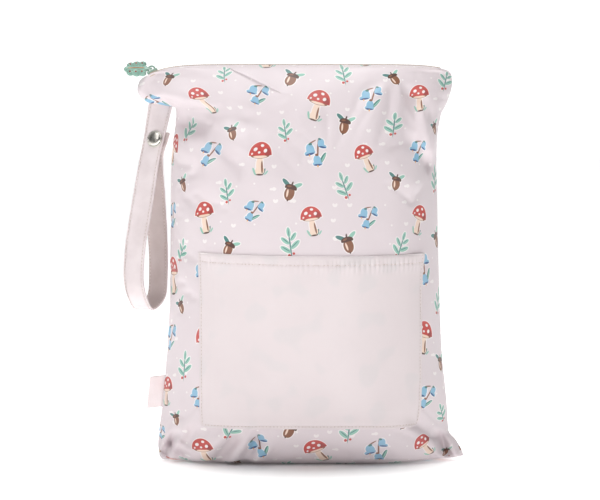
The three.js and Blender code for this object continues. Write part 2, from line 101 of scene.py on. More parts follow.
def makeWorld():
    # bright behind the bag, dimmer behind the camera
    world = bpy.data.worlds.new("studio")
    world.use_nodes = True
    nodes, links = world.node_tree.nodes, world.node_tree.links
    place = nodes.new("ShaderNodeTexCoord")
    parts = nodes.new("ShaderNodeSeparateXYZ")
    fade = nodes.new("ShaderNodeMapRange")
    links.new(place.outputs["Generated"], parts.inputs[0])
    links.new(parts.outputs["Y"], fade.inputs[0])
    strengths = (*studio["worldFade"], studio["worldFront"], studio["worldBack"])
    for socket, value in zip(fade.inputs[1:5], strengths):
        socket.default_value = value
    links.new(fade.outputs[0], nodes["Background"].inputs["Strength"])
    nodes["Background"].inputs["Color"].default_value = (1, 1, 1, 1)
    scene.world = world
    scene.view_settings.view_transform = "Standard"
    scene.view_settings.exposure = studio["exposure"]


makeCamera()
makeWorld()
for lamp in studio["lamps"]:
    makeLamp(*lamp)
print("camera, world and lamps made")


# Shader helpers

def newMaterial(name):
    material = bpy.data.materials.new(name)
    material.use_nodes = True
    return material, material.node_tree, material.node_tree.nodes["Principled BSDF"]


def setAll(target, settings):
    for key, value in settings.items():
        setattr(target, key, value)


def addNode(tree, kind, **settings):
    node = tree.nodes.new("ShaderNode" + kind)
    setAll(node, settings)
    return node


def feed(tree, socket, value):
    if isinstance(value, bpy.types.NodeSocket):
        tree.links.new(value, socket)
    else:
        socket.default_value = value


def feedAll(tree, node, values):
    for socket, value in zip(node.inputs, values):
        feed(tree, socket, value)
    return node.outputs


def dress(tree, shader, settings):
    for name, value in settings.items():
        feed(tree, shader.inputs[name], value)


def calc(tree, operation, *values):
    return feedAll(tree, addNode(tree, "Math", operation=operation), values)[0]


def calcVector(tree, operation, *values):
    # lengths and products of vectors, which are plain numbers
    return feedAll(tree, addNode(tree, "VectorMath", operation=operation), values)["Value"]


def joinParts(tree, x, y, z):
    return feedAll(tree, addNode(tree, "CombineXYZ"), (x, y, z))[0]


def mixColour(tree, share, first, second):
    node = addNode(tree, "Mix", data_type="RGBA")
    feed(tree, node.inputs[0], share)
    feed(tree, node.inputs[6], first)
    feed(tree, node.inputs[7], second)
    return node.outputs[2]


def ramp(tree, value, low, high, start=0.0, end=1.0):
    node = addNode(tree, "MapRange", interpolation_type="SMOOTHSTEP", clamp=False)
    return feedAll(tree, node, (value, low, high, start, end))[0]


def noise(tree, where, scale, detail=2.0):
    node = addNode(tree, "TexNoise")
    feed(tree, node.inputs["Vector"], where)
    node.inputs["Scale"].default_value = scale
    node.inputs["Detail"].default_value = detail
    return node.outputs[0]


def bump(tree, height, distance, strength=1.0, under=None):
    node = addNode(tree, "Bump")
    node.inputs["Strength"].default_value = strength
    node.inputs["Distance"].default_value = distance
    feed(tree, node.inputs["Height"], height)
    if under is not None:
        feed(tree, node.inputs["Normal"], under)
    return node.outputs[0]


def objectPlace(tree):
    return addNode(tree, "TexCoord").outputs["Object"]


def uneven(tree, scale, detail, *span):
    # soft patches over the whole object, for tone or gloss
    return ramp(tree, noise(tree, objectPlace(tree), scale, detail), *span)


def srgb(red, green, blue):
    def linear(part):
        share = part / 255
        return share / 12.92 if share <= 0.04045 else ((share + 0.055) / 1.055) ** 2.4
    return (linear(red), linear(green), linear(blue), 1)


# Small helpers for meshes and grids of points

def toMesh(name, bm):
    mesh = bpy.data.meshes.new(name)
    bm.to_mesh(mesh)
    bm.free()
    return mesh


def finishMesh(name, bm, material, body="bag"):
    mesh = toMesh(name, bm)
    mesh.shade_smooth()
    mesh.materials.append(material)
    piece = linkObject(name, mesh)
    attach(piece, body)
    return piece


def repeatBall(name, matrices, material, segments):
    # one small ball, set at every place
    bm = bmesh.new()
    bmesh.ops.create_uvsphere(bm, u_segments=segments[0], v_segments=segments[1], radius=1)
    ball = bpy.data.meshes.new("ball")
    bm.to_mesh(ball)
    bm.clear()
    for matrix in matrices:
        placed = ball.copy()
        placed.transform(matrix)
        bm.from_mesh(placed)
        bpy.data.meshes.remove(placed)
    bpy.data.meshes.remove(ball)
    return finishMesh(name, bm, material)


def layGrid(bm, points, flip=False):
    # a grid of cells, each corner moved to its point
    rows, columns = points.shape[:2]
    made = bmesh.ops.create_grid(bm, x_segments=columns - 1, y_segments=rows - 1, size=1)
    order = {}
    for vert in made["verts"]:
        column = round((vert.co.x + 1) / 2 * (columns - 1))
        row = round((vert.co.y + 1) / 2 * (rows - 1))
        order[vert] = (row, column)
    for vert, (row, column) in order.items():
        vert.co = points[row, column]
    if flip:
        faces = {face for vert in made["verts"] for face in vert.link_faces}
        bmesh.ops.reverse_faces(bm, faces=list(faces))
    return order


def clothPiece(name, points, flat, material, flip=False):
    bm = bmesh.new()
    order = layGrid(bm, points, flip)
    sheet = bm.loops.layers.uv.new("flat")
    for face in bm.faces:
        for loop in face.loops:
            row, column = order[loop.vert]
            loop[sheet].uv = flat[row, column]
    return finishMesh(name, bm, material)


def thicken(piece, thickness, offset, levels=0):
    wall = piece.modifiers.new("wall", "SOLIDIFY")
    wall.thickness = thickness
    wall.offset = offset
    wall.use_even_offset = False
    if levels:
        softer = piece.modifiers.new("round", "SUBSURF")
        softer.levels = levels
        softer.render_levels = levels


def surfaceNormals(points):
    along = np.gradient(points, axis=0)
    aside = np.gradient(points, axis=1)
    normals = np.cross(aside, along)
    return normals / np.maximum(np.linalg.norm(normals, axis=2, keepdims=True), 1e-12)


def gridValue(points, row, column):
    # bilinear reading of rows of points
    rows, columns = points.shape[:2]
    row = np.clip(row, 0, rows - 1.000001)
    column = np.clip(column, 0, columns - 1.000001)
    r, c = np.floor(row).astype(int), np.floor(column).astype(int)
    s, t = (row - r)[..., None], (column - c)[..., None]
    low = points[r, c] * (1 - t) + points[r, c + 1] * t
    high = points[r + 1, c] * (1 - t) + points[r + 1, c + 1] * t
    return low * (1 - s) + high * s


def bell(value, centre, width):
    return np.exp(-((value - centre) / width) ** 2)


def walkedAlong(points):
    # distance along a line of points, at each of them
    return np.concatenate([[0], np.cumsum(np.linalg.norm(np.diff(points, axis=0), axis=1))])


def flatGrid(across, along):
    return np.stack(np.meshgrid(across, along), axis=2)


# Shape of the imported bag, in millimetres: sections from the bottom seam up the front to the zip.
# front, back: y of each panel on the centre line at the height mid
# left, right: reach of the side seams at leftZ, rightZ
# box: 2 is an ellipse; rim: 0.5 is a round side

bagShape = {
    "columns": ("front", "back", "mid", "left", "leftZ", "right", "rightZ", "box", "rim"),
    "sections": (
        (4, 4, 0, 104, 2, 120, 5, 5, 1),
        (-14, 20, 0, 108, 7, 119, 8, 5, 0.95),
        (-28, 31, 0.4, 109.5, 14, 115, 15, 5, 0.85),
        (-39, 40, 11, 109, 22, 109, 22, 4, 0.7),
        (-47, 46.5, 40, 106, 40, 107.5, 42, 3, 0.6),
        (-53, 50, 92, 101.5, 88, 102.5, 88, 2.5, 0.53),
        (-55, 51, 150, 100.5, 150, 100, 150, 2.4, 0.5),
        (-51, 48, 200, 100, 202, 99.5, 202, 2.4, 0.5),
        (-43, 40, 238, 98.5, 242, 100, 240, 2.4, 0.55),
        (-36, 33.5, 258, 97, 265.5, 103.5, 258, 2.4, 0.62),
        (-30, 27.5, 270, 116, 268, 108.5, 269, 2.6, 0.75),
        (-22, 20.5, 283, 124.5, 278, 111.5, 282, 3, 0.8),
        (-16, 15.5, 291.5, 121.5, 285.8, 111, 288.5, 5, 0.9),
        (-9, 9, 296, 117.5, 287.5, 108.5, 292, 20, 1),
    ),
    "rimSweep": 8,
    "seamHold": 30,  # reach over which a seam holds a fold flat
    "rimHold": 2.5,
    "lip": 0.35,  # rise beside a valley, as a share of its depth
    "lipAt": (1.9, 0.9),  # place and width of that rise, in widths of the valley
    "trial": 241,  # trial points from the centre line to a seam
    "lowest": 0.1,
    "backShift": 2.3,  # the back is cut from another place of the print
    "rows": 220,
    "halfColumns": 82,
    "flatWidth": 250,
    "cloth": 1.2,
}

# valleys of the cloth: x, z, angle up from +X, length, width, depth
frontFolds = (
    (-88, 253, -15, 42, 9, 14), (-55, 256, -18, 48, 9, 6), (-60, 230, -44, 46, 10, 7),
    (-90, 166, -66, 46, 7, 5), (77, 258, 78, 52, 13, 10), (84, 228, -42, 34, 9, 7),
    (-14, 238, -32, 60, 14, 6), (-113, 282, 70, 24, 5, 5), (64, 88, 87, 130, 14, 5),
    (-56, 12, 48, 26, 5, 8), (-38, 12, 50, 24, 5, 7), (-84, 20, 62, 22, 6, 4),
    (92, 232, 86, 60, 4, 3), (106, 11, -68, 24, 3.5, 12), (-102, 11, 62, 26, 3, 8),
    (-95, 10, -38, 20, 3, 6),
)
backFolds = (
    (70, 250, 34, 50, 12, 8), (-68, 252, -40, 50, 12, 8), (40, 18, -50, 30, 8, 4),
)

sections = np.array(bagShape["sections"], dtype=float)
steps = np.hypot(np.diff(sections[:, 0]), np.diff(sections[:, 2]))
places = np.concatenate([[0], np.cumsum(steps)])
clothLength = places[-1]


def rowSlopes(values):
    # slopes between the rows, with no overshoot
    secants = np.diff(values) / np.diff(places)
    before = np.concatenate([secants[:1], secants])
    after = np.concatenate([secants, secants[-1:]])
    level = before * after <= 0
    return np.where(level, 0, 2 * before * after / np.where(level, 1, before + after))


slopes = np.stack([rowSlopes(column) for column in sections.T], axis=1)


def sectionAt(place):
    i = np.clip(np.searchsorted(places, place, side="right") - 1, 0, len(places) - 2)
    span = (places[i + 1] - places[i])[:, None]
    s = (place - places[i])[:, None] / span
    bend = s * s * (3 - 2 * s)
    value = sections[i] + (sections[i + 1] - sections[i]) * bend
    value = value + s * (1 - s) * span * (slopes[i] * (1 - s) - slopes[i + 1] * s)
    return {name: value[:, k:k + 1] for k, name in enumerate(bagShape["columns"])}


def foldDepth(folds, x, z):
    depth = np.zeros_like(x)
    for foldX, foldZ, angle, length, width, deep in folds:
        turn = math.radians(angle)
        along = (x - foldX) * math.cos(turn) + (z - foldZ) * math.sin(turn)
        aside = ((z - foldZ) * math.cos(turn) - (x - foldX) * math.sin(turn)) / width
        valley = bell(aside, 0, 1) - bagShape["lip"] * bell(np.abs(aside), *bagShape["lipAt"])
        depth += deep * valley * np.exp(-(2 * along / length) ** 4)
    return depth


def panelRows(panel, place, across, folds=()):
    section = sectionAt(place)
    reach = np.abs(across)
    full = np.maximum(0, 1 - reach ** section["box"]) ** section["rim"]
    x = across * np.where(across < 0, section["left"], section["right"])
    rim = np.where(across < 0, section["leftZ"], section["rightZ"])
    z = section["mid"] + (rim - section["mid"]) * reach ** bagShape["rimSweep"]
    fromEnds = np.minimum(place, clothLength - place)[:, None] / bagShape["seamHold"]
    held = np.minimum(np.minimum(1, bagShape["rimHold"] * full), fromEnds)
    outward = -1 if panel == "front" else 1
    y = section[panel] * full - outward * foldDepth(folds, x, z) * held
    return np.stack([x, y, z], axis=2)


def panelSurface(panel, folds, rows, halfColumns):
    # columns stand at even steps of cloth from the centre line to each seam
    place = np.linspace(0, clothLength, rows + 1)
    half = halfColumns
    dense = np.sin(np.linspace(0, math.pi / 2, bagShape["trial"]))
    across = np.zeros((len(place), 2 * half + 1))
    for side, columns in ((-1, range(half, -1, -1)), (1, range(half, 2 * half + 1))):
        reach = np.repeat(side * dense[None], len(place), axis=0)
        run = np.diff(panelRows(panel, place, reach), axis=1)
        walked = np.cumsum(np.linalg.norm(run, axis=2), axis=1)
        for r in range(len(place)):
            path = np.concatenate([[0], walked[r] / walked[r, -1]])
            across[r, list(columns)] = side * np.interp(np.linspace(0, 1, half + 1), path, dense)
    return panelRows(panel, place, across, folds) * mm


# Cloth relaxing: both panels are one sewn skin, cut flat and pressed out from inside

relax = {
    "rows": 100,
    "halfColumns": 38,
    "frames": 44,
    "hold": 0.08,  # pull of every point to its place
    "seamPull": 0.3,
    "leastSpare": 0.03,
    "mostSpare": 0.18,
    "unevenness": 0.3,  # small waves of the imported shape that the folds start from
    "waveCells": 2.2,
    "waveFade": (6, 4),  # rows and columns over which the waves begin at a seam
    "waveSeeds": (5, 8),
    "mostMove": 8,
    "settings": {
        "quality": 5,
        "mass": 0.005,
        "air_damping": 0.5,
        "tension_stiffness": 15,
        "compression_stiffness": 15,
        "shear_stiffness": 5,
        "bending_stiffness": 0.01,
        "tension_damping": 0.1,
        "compression_damping": 0.1,
        "shear_damping": 0.1,
        "bending_damping": 0.01,
        "use_pressure": True,
        "uniform_pressure_force": 22,
        "vertex_group_mass": "held",
        "pin_stiffness": 0.3,
        "vertex_group_shrink": "spare",
        "shrink_min": 0,
    },
}
ears = {"up": 34, "out": 26, "forward": 12}  # how far up and across a lower corner reaches


def smoothChance(rows, columns, cells, seed):
    # even random waves over a grid
    chance = np.random.default_rng(seed)
    coarse = chance.uniform(-1, 1, (int(rows / cells) + 4, int(columns / cells) + 4))
    r, c = np.meshgrid(np.arange(rows) / cells + 1, np.arange(columns) / cells + 1, indexing="ij")
    return cubicValue(coarse[..., None], r, c)[..., 0]


def cubicValue(values, row, column):
    # smooth reading of a grid of values
    def weights(t):
        return (-0.5 * t + t * t - 0.5 * t ** 3, 1 - 2.5 * t * t + 1.5 * t ** 3,
                0.5 * t + 2 * t * t - 1.5 * t ** 3, -0.5 * t * t + 0.5 * t ** 3)
    rows, columns = values.shape[:2]
    r, c = np.floor(row).astype(int), np.floor(column).astype(int)
    total = 0
    for i, down in enumerate(weights(row - r)):
        for j, aside in enumerate(weights(column - c)):
            at = values[np.clip(r + i - 1, 0, rows - 1), np.clip(c + j - 1, 0, columns - 1)]
            total = total + at * (down * aside)[..., None]
    return total


def sewSkin(front, back):
    # one mesh of both panels, welded along the sides and the bottom
    bm = bmesh.new()
    rows, columns = front.shape[:2]
    frontAt = {spot: vert for vert, spot in layGrid(bm, front).items()}
    backAt = {spot: vert for vert, spot in layGrid(bm, back, flip=True).items()}
    seam = {}
    for spot, vert in backAt.items():
        if spot[0] == 0 or spot[1] in (0, columns - 1):
            seam[vert] = frontAt[spot]
            backAt[spot] = frontAt[spot]
    bmesh.ops.weld_verts(bm, targetmap=seam)
    bm.verts.index_update()
    frontIndex = np.array([[frontAt[(r, c)].index for c in range(columns)] for r in range(rows)])
    backIndex = np.array([[backAt[(r, c)].index for c in range(columns)] for r in range(rows)])
    return linkObject("skin", toMesh("skin", bm)), frontIndex, backIndex


def readPoints(mesh):
    flat = np.empty(3 * len(mesh.vertices))
    mesh.vertices.foreach_get("co", flat)
    return flat.reshape(-1, 3)


def relaxShift(front, back):
    # how far the cloth moves when it settles, at each point of the two panels
    skin, frontIndex, backIndex = sewSkin(front, back)
    start = readPoints(skin.data)
    rows, columns = front.shape[:2]

    # the cloth was cut flat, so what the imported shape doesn't need is spare
    spare = np.zeros(len(start))
    for points, index in ((front, frontIndex), (back, backIndex)):
        along = np.linalg.norm(np.gradient(points, axis=0), axis=2)
        over = clothLength * mm / (rows - 1) / along - 1
        spare[index] = np.clip((over + relax["leastSpare"]) / relax["mostSpare"], 0, 1)

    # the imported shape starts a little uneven, least at the seams
    waved = start.copy()
    fromRow, fromColumn = [np.minimum(np.arange(count), np.arange(count)[::-1]) / over
                           for count, over in zip((rows, columns), relax["waveFade"])]
    fade = np.minimum(1, np.minimum(fromRow[:, None], fromColumn[None]))
    for index, seed in zip((frontIndex, backIndex), relax["waveSeeds"]):
        waves = smoothChance(rows, columns, relax["waveCells"], seed)
        waved[index, 1] += waves * fade * relax["unevenness"] * mm
    skin.data.vertices.foreach_set("co", waved.ravel())
    loose = skin.vertex_groups.new(name="spare")
    for i, share in enumerate(spare):
        loose.add([i], share, "REPLACE")
    group = skin.vertex_groups.new(name="held")
    group.add(range(len(start)), relax["hold"], "REPLACE")
    sides = np.concatenate([frontIndex[:, [0, 1, -2, -1]].ravel(), backIndex[:, [1, -2]].ravel()])
    group.add(sides.tolist(), relax["seamPull"], "REPLACE")
    fixed = [*frontIndex[-2:].ravel(), *backIndex[-2:].ravel(), *frontIndex[0]]
    group.add([int(i) for i in fixed], 1, "REPLACE")
    cloth = skin.modifiers.new("relax", "CLOTH")
    setAll(cloth.settings, relax["settings"])
    cloth.settings.shrink_max = -relax["mostSpare"]
    cloth.settings.effector_weights.gravity = 0
    cloth.collision_settings.use_collision = False
    cloth.point_cache.frame_end = relax["frames"]
    for step in range(1, relax["frames"] + 1):
        scene.frame_set(step)
    eased = skin.evaluated_get(bpy.context.evaluated_depsgraph_get()).to_mesh()
    shift = readPoints(eased) - start
    scene.frame_set(1)
    bpy.data.objects.remove(skin)
    size = np.linalg.norm(shift, axis=1, keepdims=True)
    print("cloth relaxed, mean move %.1f mm, most %.1f mm" % (size.mean() / mm, size.max() / mm))
    most = relax["mostMove"] * mm
    shift *= most * np.tanh(size / most) / np.maximum(size, 1e-9)
    return shift[frontIndex], shift[backIndex]


def settle(front, back):
    # the cloth is settled on a coarser grid, and the fine one moves with it
    coarse = {"rows": relax["rows"], "halfColumns": relax["halfColumns"]}
    shifts = relaxShift(panelSurface("front", frontFolds, **coarse),
                        panelSurface("back", backFolds, **coarse))
    rows, columns = front.shape[:2]
    r, c = np.meshgrid(np.linspace(0, relax["rows"], rows),
                       np.linspace(0, 2 * relax["halfColumns"], columns), indexing="ij")
    free = 1 - lowCorner(rows, columns)[..., None]
    return [panel + cubicValue(shift, r, c) * free for panel, shift in zip((front, back), shifts)]


def lowCorner(rows, columns):
    # 1 at the two lower corners, fading over the ears
    up = np.linspace(0, clothLength, rows)[:, None] / ears["up"]
    out = (1 - np.abs(np.linspace(-1, 1, columns)))[None] * bagShape["flatWidth"] / 2 / ears["out"]
    return np.exp(-up ** 2 - out ** 2)


def bringForward(points):
    # the sewn corners lie a little in front of the bottom seam
    points[..., 1] -= ears["forward"] * lowCorner(*points.shape[:2]) * mm


sideFill = {
    "sides": ((1, 20, 268, 2.4), (-1, 20, 116, 1.6)),  # side, from and to this height, how far out
    "slope": 2.5,
    "fullness": 0.7,
}


def fillSides(points):
    # what is packed presses the sides out
    for side, low, high, out in sideFill["sides"]:
        up = np.clip((points[..., 2] / mm - low) / (high - low), 0, 1)
        reach = side * points[..., 0] / bagShape["flatWidth"] / mm * sideFill["slope"]
        full = np.sin(math.pi * up) ** sideFill["fullness"] * np.clip(reach, 0, 1) ** 2
        points[..., 0] += side * out * mm * full


# a sharp tuck under the zip: the cloth above the line lies over the cloth below it

tuck = {
    "start": (-56, 294), "end": (-16, 274.5), "fade": (0.15, 0.18),
    "rise": 1.0, "reach": 16, "edge": 0.8, "sharpness": 4, "groove": 0.4,
    "lip": 3.5, "lipRise": 0.5, "lipSink": 0.5, "lipCurl": 0.7, "lipCloth": 0.4,
    "lipCells": (7, 61), "lipSpan": (0.02, 0.98),
}


def addTuck(points):
    start, end = np.array(tuck["start"]) * mm, np.array(tuck["end"]) * mm
    line = (end - start) / np.linalg.norm(end - start)
    away = points[..., [0, 2]] - start
    along = away @ line / np.linalg.norm(end - start)
    above = (away @ np.array([-line[1], line[0]])) / mm
    fade = np.clip(np.minimum(along / tuck["fade"][0], (1 - along) / tuck["fade"][1]), 0, 1)
    over = 1 / (1 + np.exp(-above / tuck["edge"] * tuck["sharpness"]))
    over = over * np.exp(-np.maximum(above, 0) / tuck["reach"])
    rise = tuck["rise"] * over - tuck["groove"] * bell(above, -tuck["edge"], tuck["edge"])
    points[..., 1] -= rise * fade * (points[..., 1] < 0) * mm


under = {"x": (-70, 80), "z": (36, 148), "fade": 14, "rounds": 80, "share": 0.8}


def easeUnderPocket(points):
    # the patch is sewn on flat, so the cloth under it has only broad folds
    mask = points[..., 1] < 0
    for axis, (low, high) in ((0, under["x"]), (2, under["z"])):
        inward = np.minimum(points[..., axis] / mm - low, high - points[..., axis] / mm)
        mask = mask * np.clip(inward / under["fade"] + 0.5, 0, 1)
    mask = mask[1:-1, 1:-1, None] * under["share"]
    for i in range(under["rounds"]):
        mean = (points[2:, 1:-1] + points[:-2, 1:-1] + points[1:-1, 2:] + points[1:-1, :-2]) / 4
        points[1:-1, 1:-1] += (mean - points[1:-1, 1:-1]) * mask


fine = {"rows": bagShape["rows"], "halfColumns": bagShape["halfColumns"]}
frontPoints = panelSurface("front", frontFolds, **fine)
backPoints = panelSurface("back", backFolds, **fine)
frontPoints, backPoints = settle(frontPoints, backPoints)
for points in (frontPoints, backPoints):
    bringForward(points)
    fillSides(points)
    points[..., 2] = np.maximum(points[..., 2], bagShape["lowest"] * mm)  # flat on the floor
easeUnderPocket(frontPoints)
addTuck(frontPoints)
print("bag surface ready:", frontPoints.shape)


# Printed cloth: sizes in millimetres of flat cloth

printLook = {
    "ground": srgb(223, 212, 215),
    "halo": srgb(240, 234, 233),
    "red": srgb(196, 74, 66),
    "darkRed": srgb(160, 58, 54),
    "cream": srgb(238, 214, 196),
    "brown": srgb(136, 90, 66),
    "darkBrown": srgb(84, 56, 46),
    "blue": srgb(140, 186, 212),
    "navy": srgb(62, 92, 140),
    "mint": srgb(146, 194, 178),
    "teal": srgb(74, 128, 124),
    "yellow": srgb(226, 168, 84),
    "cell": (42.0, 44.0),
    "fillerCell": 14.0,
    "jitter": 4.0,
    "lean": 0.5,  # turn of a motif, radians to each side
    "edge": 0.14,  # softness of a printed edge
    "haloWidth": 0.8,
    "shrink": (1.08, 1.42),  # a motif is smaller by one of these or between them
    "haloFrom": 1.2,  # spots thinner than this have no halo
    "shift": (13.0, 20.0),
    "seeds": (7.0, 12.0),
    "fillerSeed": 3.0,
    "fillerJitter": 3.0,
    "fillerStrength": 0.9,
    "heart": (((-0.75, 0.3), (0.95, 1.5), 32), ((0.75, 0.3), (0.95, 1.5), -32)),
    "heartBelow": 0.24,  # chance numbers that choose hearts, dots and clouds
    "dot": ((0, 0), (0.75, 0.75)),
    "dotAbove": 0.62,
    "cloud": (((-1.1, 0), (1.3, 0.9)), ((0.9, 0.2), (1.6, 1.3))),
    "cloudAt": (0.3, 0.055),
}


def spot(tree, here, centre, size, turn=0.0):
    # a round or oval printed spot: 1 inside; here holds x, y and 1
    lean = math.radians(turn)
    square = None
    axes = (math.cos(lean), math.sin(lean)), (-math.sin(lean), math.cos(lean))
    for axis, reach in zip(axes, size):
        start = axis[0] * centre[0] + axis[1] * centre[1]
        measure = (axis[0] / reach, axis[1] / reach, -start / reach)
        out = calcVector(tree, "DOT_PRODUCT", here, measure)
        if square is None:
            square = calc(tree, "MULTIPLY", out, out)
        else:
            square = calc(tree, "MULTIPLY_ADD", out, out, square)
    soft = printLook["edge"] / min(size)
    return ramp(tree, square, (1 - soft) ** 2, (1 + soft) ** 2, 1.0, 0.0)


def above(tree, here, level):
    height = calcVector(tree, "DOT_PRODUCT", here, (0, 1, 0))
    return ramp(tree, height, level - printLook["edge"], level + printLook["edge"])


# each motif: spots as colour, centre, size, turn and, for some, the level that they start from

toadstool = (
    ("mint", (-4.6, -12.4), (1.1, 3.8), 24), ("teal", (4.2, -12.6), (1.0, 3.4), -22),
    ("mint", (6.4, -13.4), (0.8, 2.6), -40),
    ("cream", (0.0, -6.6), (3.1, 8.6), 0), ("cream", (0.4, -11.6), (4.2, 3.8), 0),
    ("brown", (2.4, -8.6), (0.9, 5.6), 4), ("darkBrown", (0.3, -15.2), (3.4, 0.8), 0),
    ("brown", (0.0, 1.6), (8.8, 2.6), 0), ("cream", (0.0, 0.6), (6.4, 1.2), 0),
    ("red", (0.0, 1.8), (10.6, 11.6), 0, 1.6), ("darkRed", (7.0, 3.4), (2.6, 4.6), 20, 1.7),
    ("halo", (-4.6, 7.2), (1.9, 1.5), 30), ("halo", (1.6, 10.2), (1.6, 1.2), -10),
    ("halo", (4.6, 5.6), (1.5, 1.7), -30), ("halo", (-1.0, 4.4), (1.2, 1.0), 0),
    ("halo", (-7.6, 3.4), (1.0, 0.8), 40),
)
bluebell = (
    ("brown", (1.2, 4.0), (0.7, 9.6), -8), ("brown", (-2.6, 11.2), (3.6, 0.6), 24),
    ("teal", (4.4, -3.6), (1.5, 5.6), -36), ("mint", (5.4, -3.0), (0.6, 4.4), -36),
    ("blue", (-5.4, 4.8), (3.6, 4.8), 10), ("blue", (-6.0, 1.6), (4.8, 2.2), 10),
    ("navy", (-6.2, 0.4), (4.0, 0.9), 10), ("teal", (-4.8, 9.2), (1.7, 1.0), 10),
    ("blue", (4.6, 9.6), (2.9, 4.0), -14), ("blue", (5.4, 6.8), (3.8, 1.8), -14),
    ("navy", (5.6, 5.9), (3.2, 0.8), -14), ("teal", (3.8, 13.2), (1.4, 0.9), -14),
    ("blue", (-0.6, -5.0), (3.2, 4.2), 0), ("blue", (-0.6, -7.8), (4.2, 1.9), 0),
    ("navy", (-0.6, -8.9), (3.5, 0.8), 0), ("brown", (-0.4, -0.6), (1.5, 1.0), 0),
    ("yellow", (-0.6, -9.9), (0.6, 1.0), 0), ("yellow", (-6.6, -0.7), (0.6, 0.9), 10),
)
sprig = (
    ("teal", (0.0, -2.0), (0.6, 10.4), 0),
    ("mint", (-4.0, -4.6), (1.9, 4.8), 52), ("teal", (-3.6, -4.4), (0.35, 3.6), 52),
    ("mint", (4.0, -1.6), (1.9, 4.8), -52), ("teal", (3.6, -1.4), (0.35, 3.6), -52),
    ("mint", (-3.6, 2.4), (1.7, 4.2), 44), ("teal", (-3.2, 2.6), (0.35, 3.0), 44),
    ("mint", (3.4, 5.0), (1.6, 3.8), -40), ("teal", (3.0, 5.2), (0.3, 2.8), -40),
    ("mint", (0.0, 9.0), (1.6, 4.0), 0), ("teal", (0.0, 8.4), (0.3, 2.8), 0),
    ("red", (-1.8, -9.8), (1.3, 1.3), 0), ("red", (1.9, -8.6), (1.1, 1.1), 0),
)
acorn = (
    ("teal", (-4.8, 5.6), (1.7, 4.4), 58), ("mint", (4.8, 5.8), (1.6, 4.2), -56),
    ("brown", (0.0, -2.0), (4.2, 6.0), 0), ("cream", (-1.6, -2.4), (0.8, 3.2), 6),
    ("darkBrown", (0.0, 2.6), (5.2, 3.0), 0, 1.4), ("brown", (-1.6, 3.6), (1.8, 0.8), 14),
    ("darkBrown", (0.3, 6.4), (0.7, 1.8), -10), ("darkBrown", (0.0, -8.0), (0.6, 0.9), 0),
)


def newGroup(name, inputs, outputs):
    tree = bpy.data.node_groups.new(name, "ShaderNodeTree")
    for label, kind in inputs:
        tree.interface.new_socket(label, in_out="INPUT", socket_type="NodeSocket" + kind)
    for label, kind in outputs:
        tree.interface.new_socket(label, in_out="OUTPUT", socket_type="NodeSocket" + kind)
    start = tree.nodes.new("NodeGroupInput")
    end = tree.nodes.new("NodeGroupOutput")
    return tree, start.outputs, end.inputs


def useGroup(tree, group, *values):
    return feedAll(tree, addNode(tree, "Group", node_tree=group), values)


def makeMotif(name, motif):
    # the white halo first, then the colours over it
    outputs = [("colour", "Color"), ("alpha", "Float")]
    tree, start, end = newGroup(name, [("here", "Vector")], outputs)
    here = start[0]
    alpha = None
    halo = printLook["haloWidth"]
    for part in motif:
        if min(part[2]) > printLook["haloFrom"]:
            grown = spot(tree, here, part[1], (part[2][0] + halo, part[2][1] + halo), part[3])
            if len(part) > 4:
                grown = calc(tree, "MULTIPLY", grown, above(tree, here, part[4] - halo))
            alpha = grown if alpha is None else calc(tree, "MAXIMUM", alpha, grown)
    colour = printLook["halo"]
    for part in motif:
        inside = spot(tree, here, *part[1:4])
        if len(part) > 4:
            inside = calc(tree, "MULTIPLY", inside, above(tree, here, part[4]))
        alpha = calc(tree, "MAXIMUM", alpha, inside)
        colour = mixColour(tree, inside, colour, printLook[part[0]])
    tree.links.new(colour, end[0])
    tree.links.new(alpha, end[1])
    return tree


def cellOf(tree, x, y, width, height, seed):
    # where in its cell of the lattice a point is, three chance numbers, and which cell that is
    column = calc(tree, "FLOOR", calc(tree, "DIVIDE", x, width))
    row = calc(tree, "FLOOR", calc(tree, "DIVIDE", y, height))
    key = joinParts(tree, column, row, seed)
    chance = addNode(tree, "TexWhiteNoise", noise_dimensions="3D")
    feed(tree, chance.inputs["Vector"], key)
    parts = feedAll(tree, addNode(tree, "SeparateColor"), [chance.outputs["Color"]])
    local = []
    for place, number, size in ((x, column, width), (y, row, height)):
        middle = calc(tree, "MULTIPLY", calc(tree, "ADD", number, 0.5), size)
        local.append(calc(tree, "SUBTRACT", place, middle))
    return local, parts, (column, row)


def jittered(tree, local, chance, reach):
    return [calc(tree, "ADD", place, centred(tree, number, reach))
            for place, number in zip(local, chance)]


def centred(tree, chance, reach):
    return calc(tree, "MULTIPLY", calc(tree, "SUBTRACT", chance, 0.5), 2 * reach)


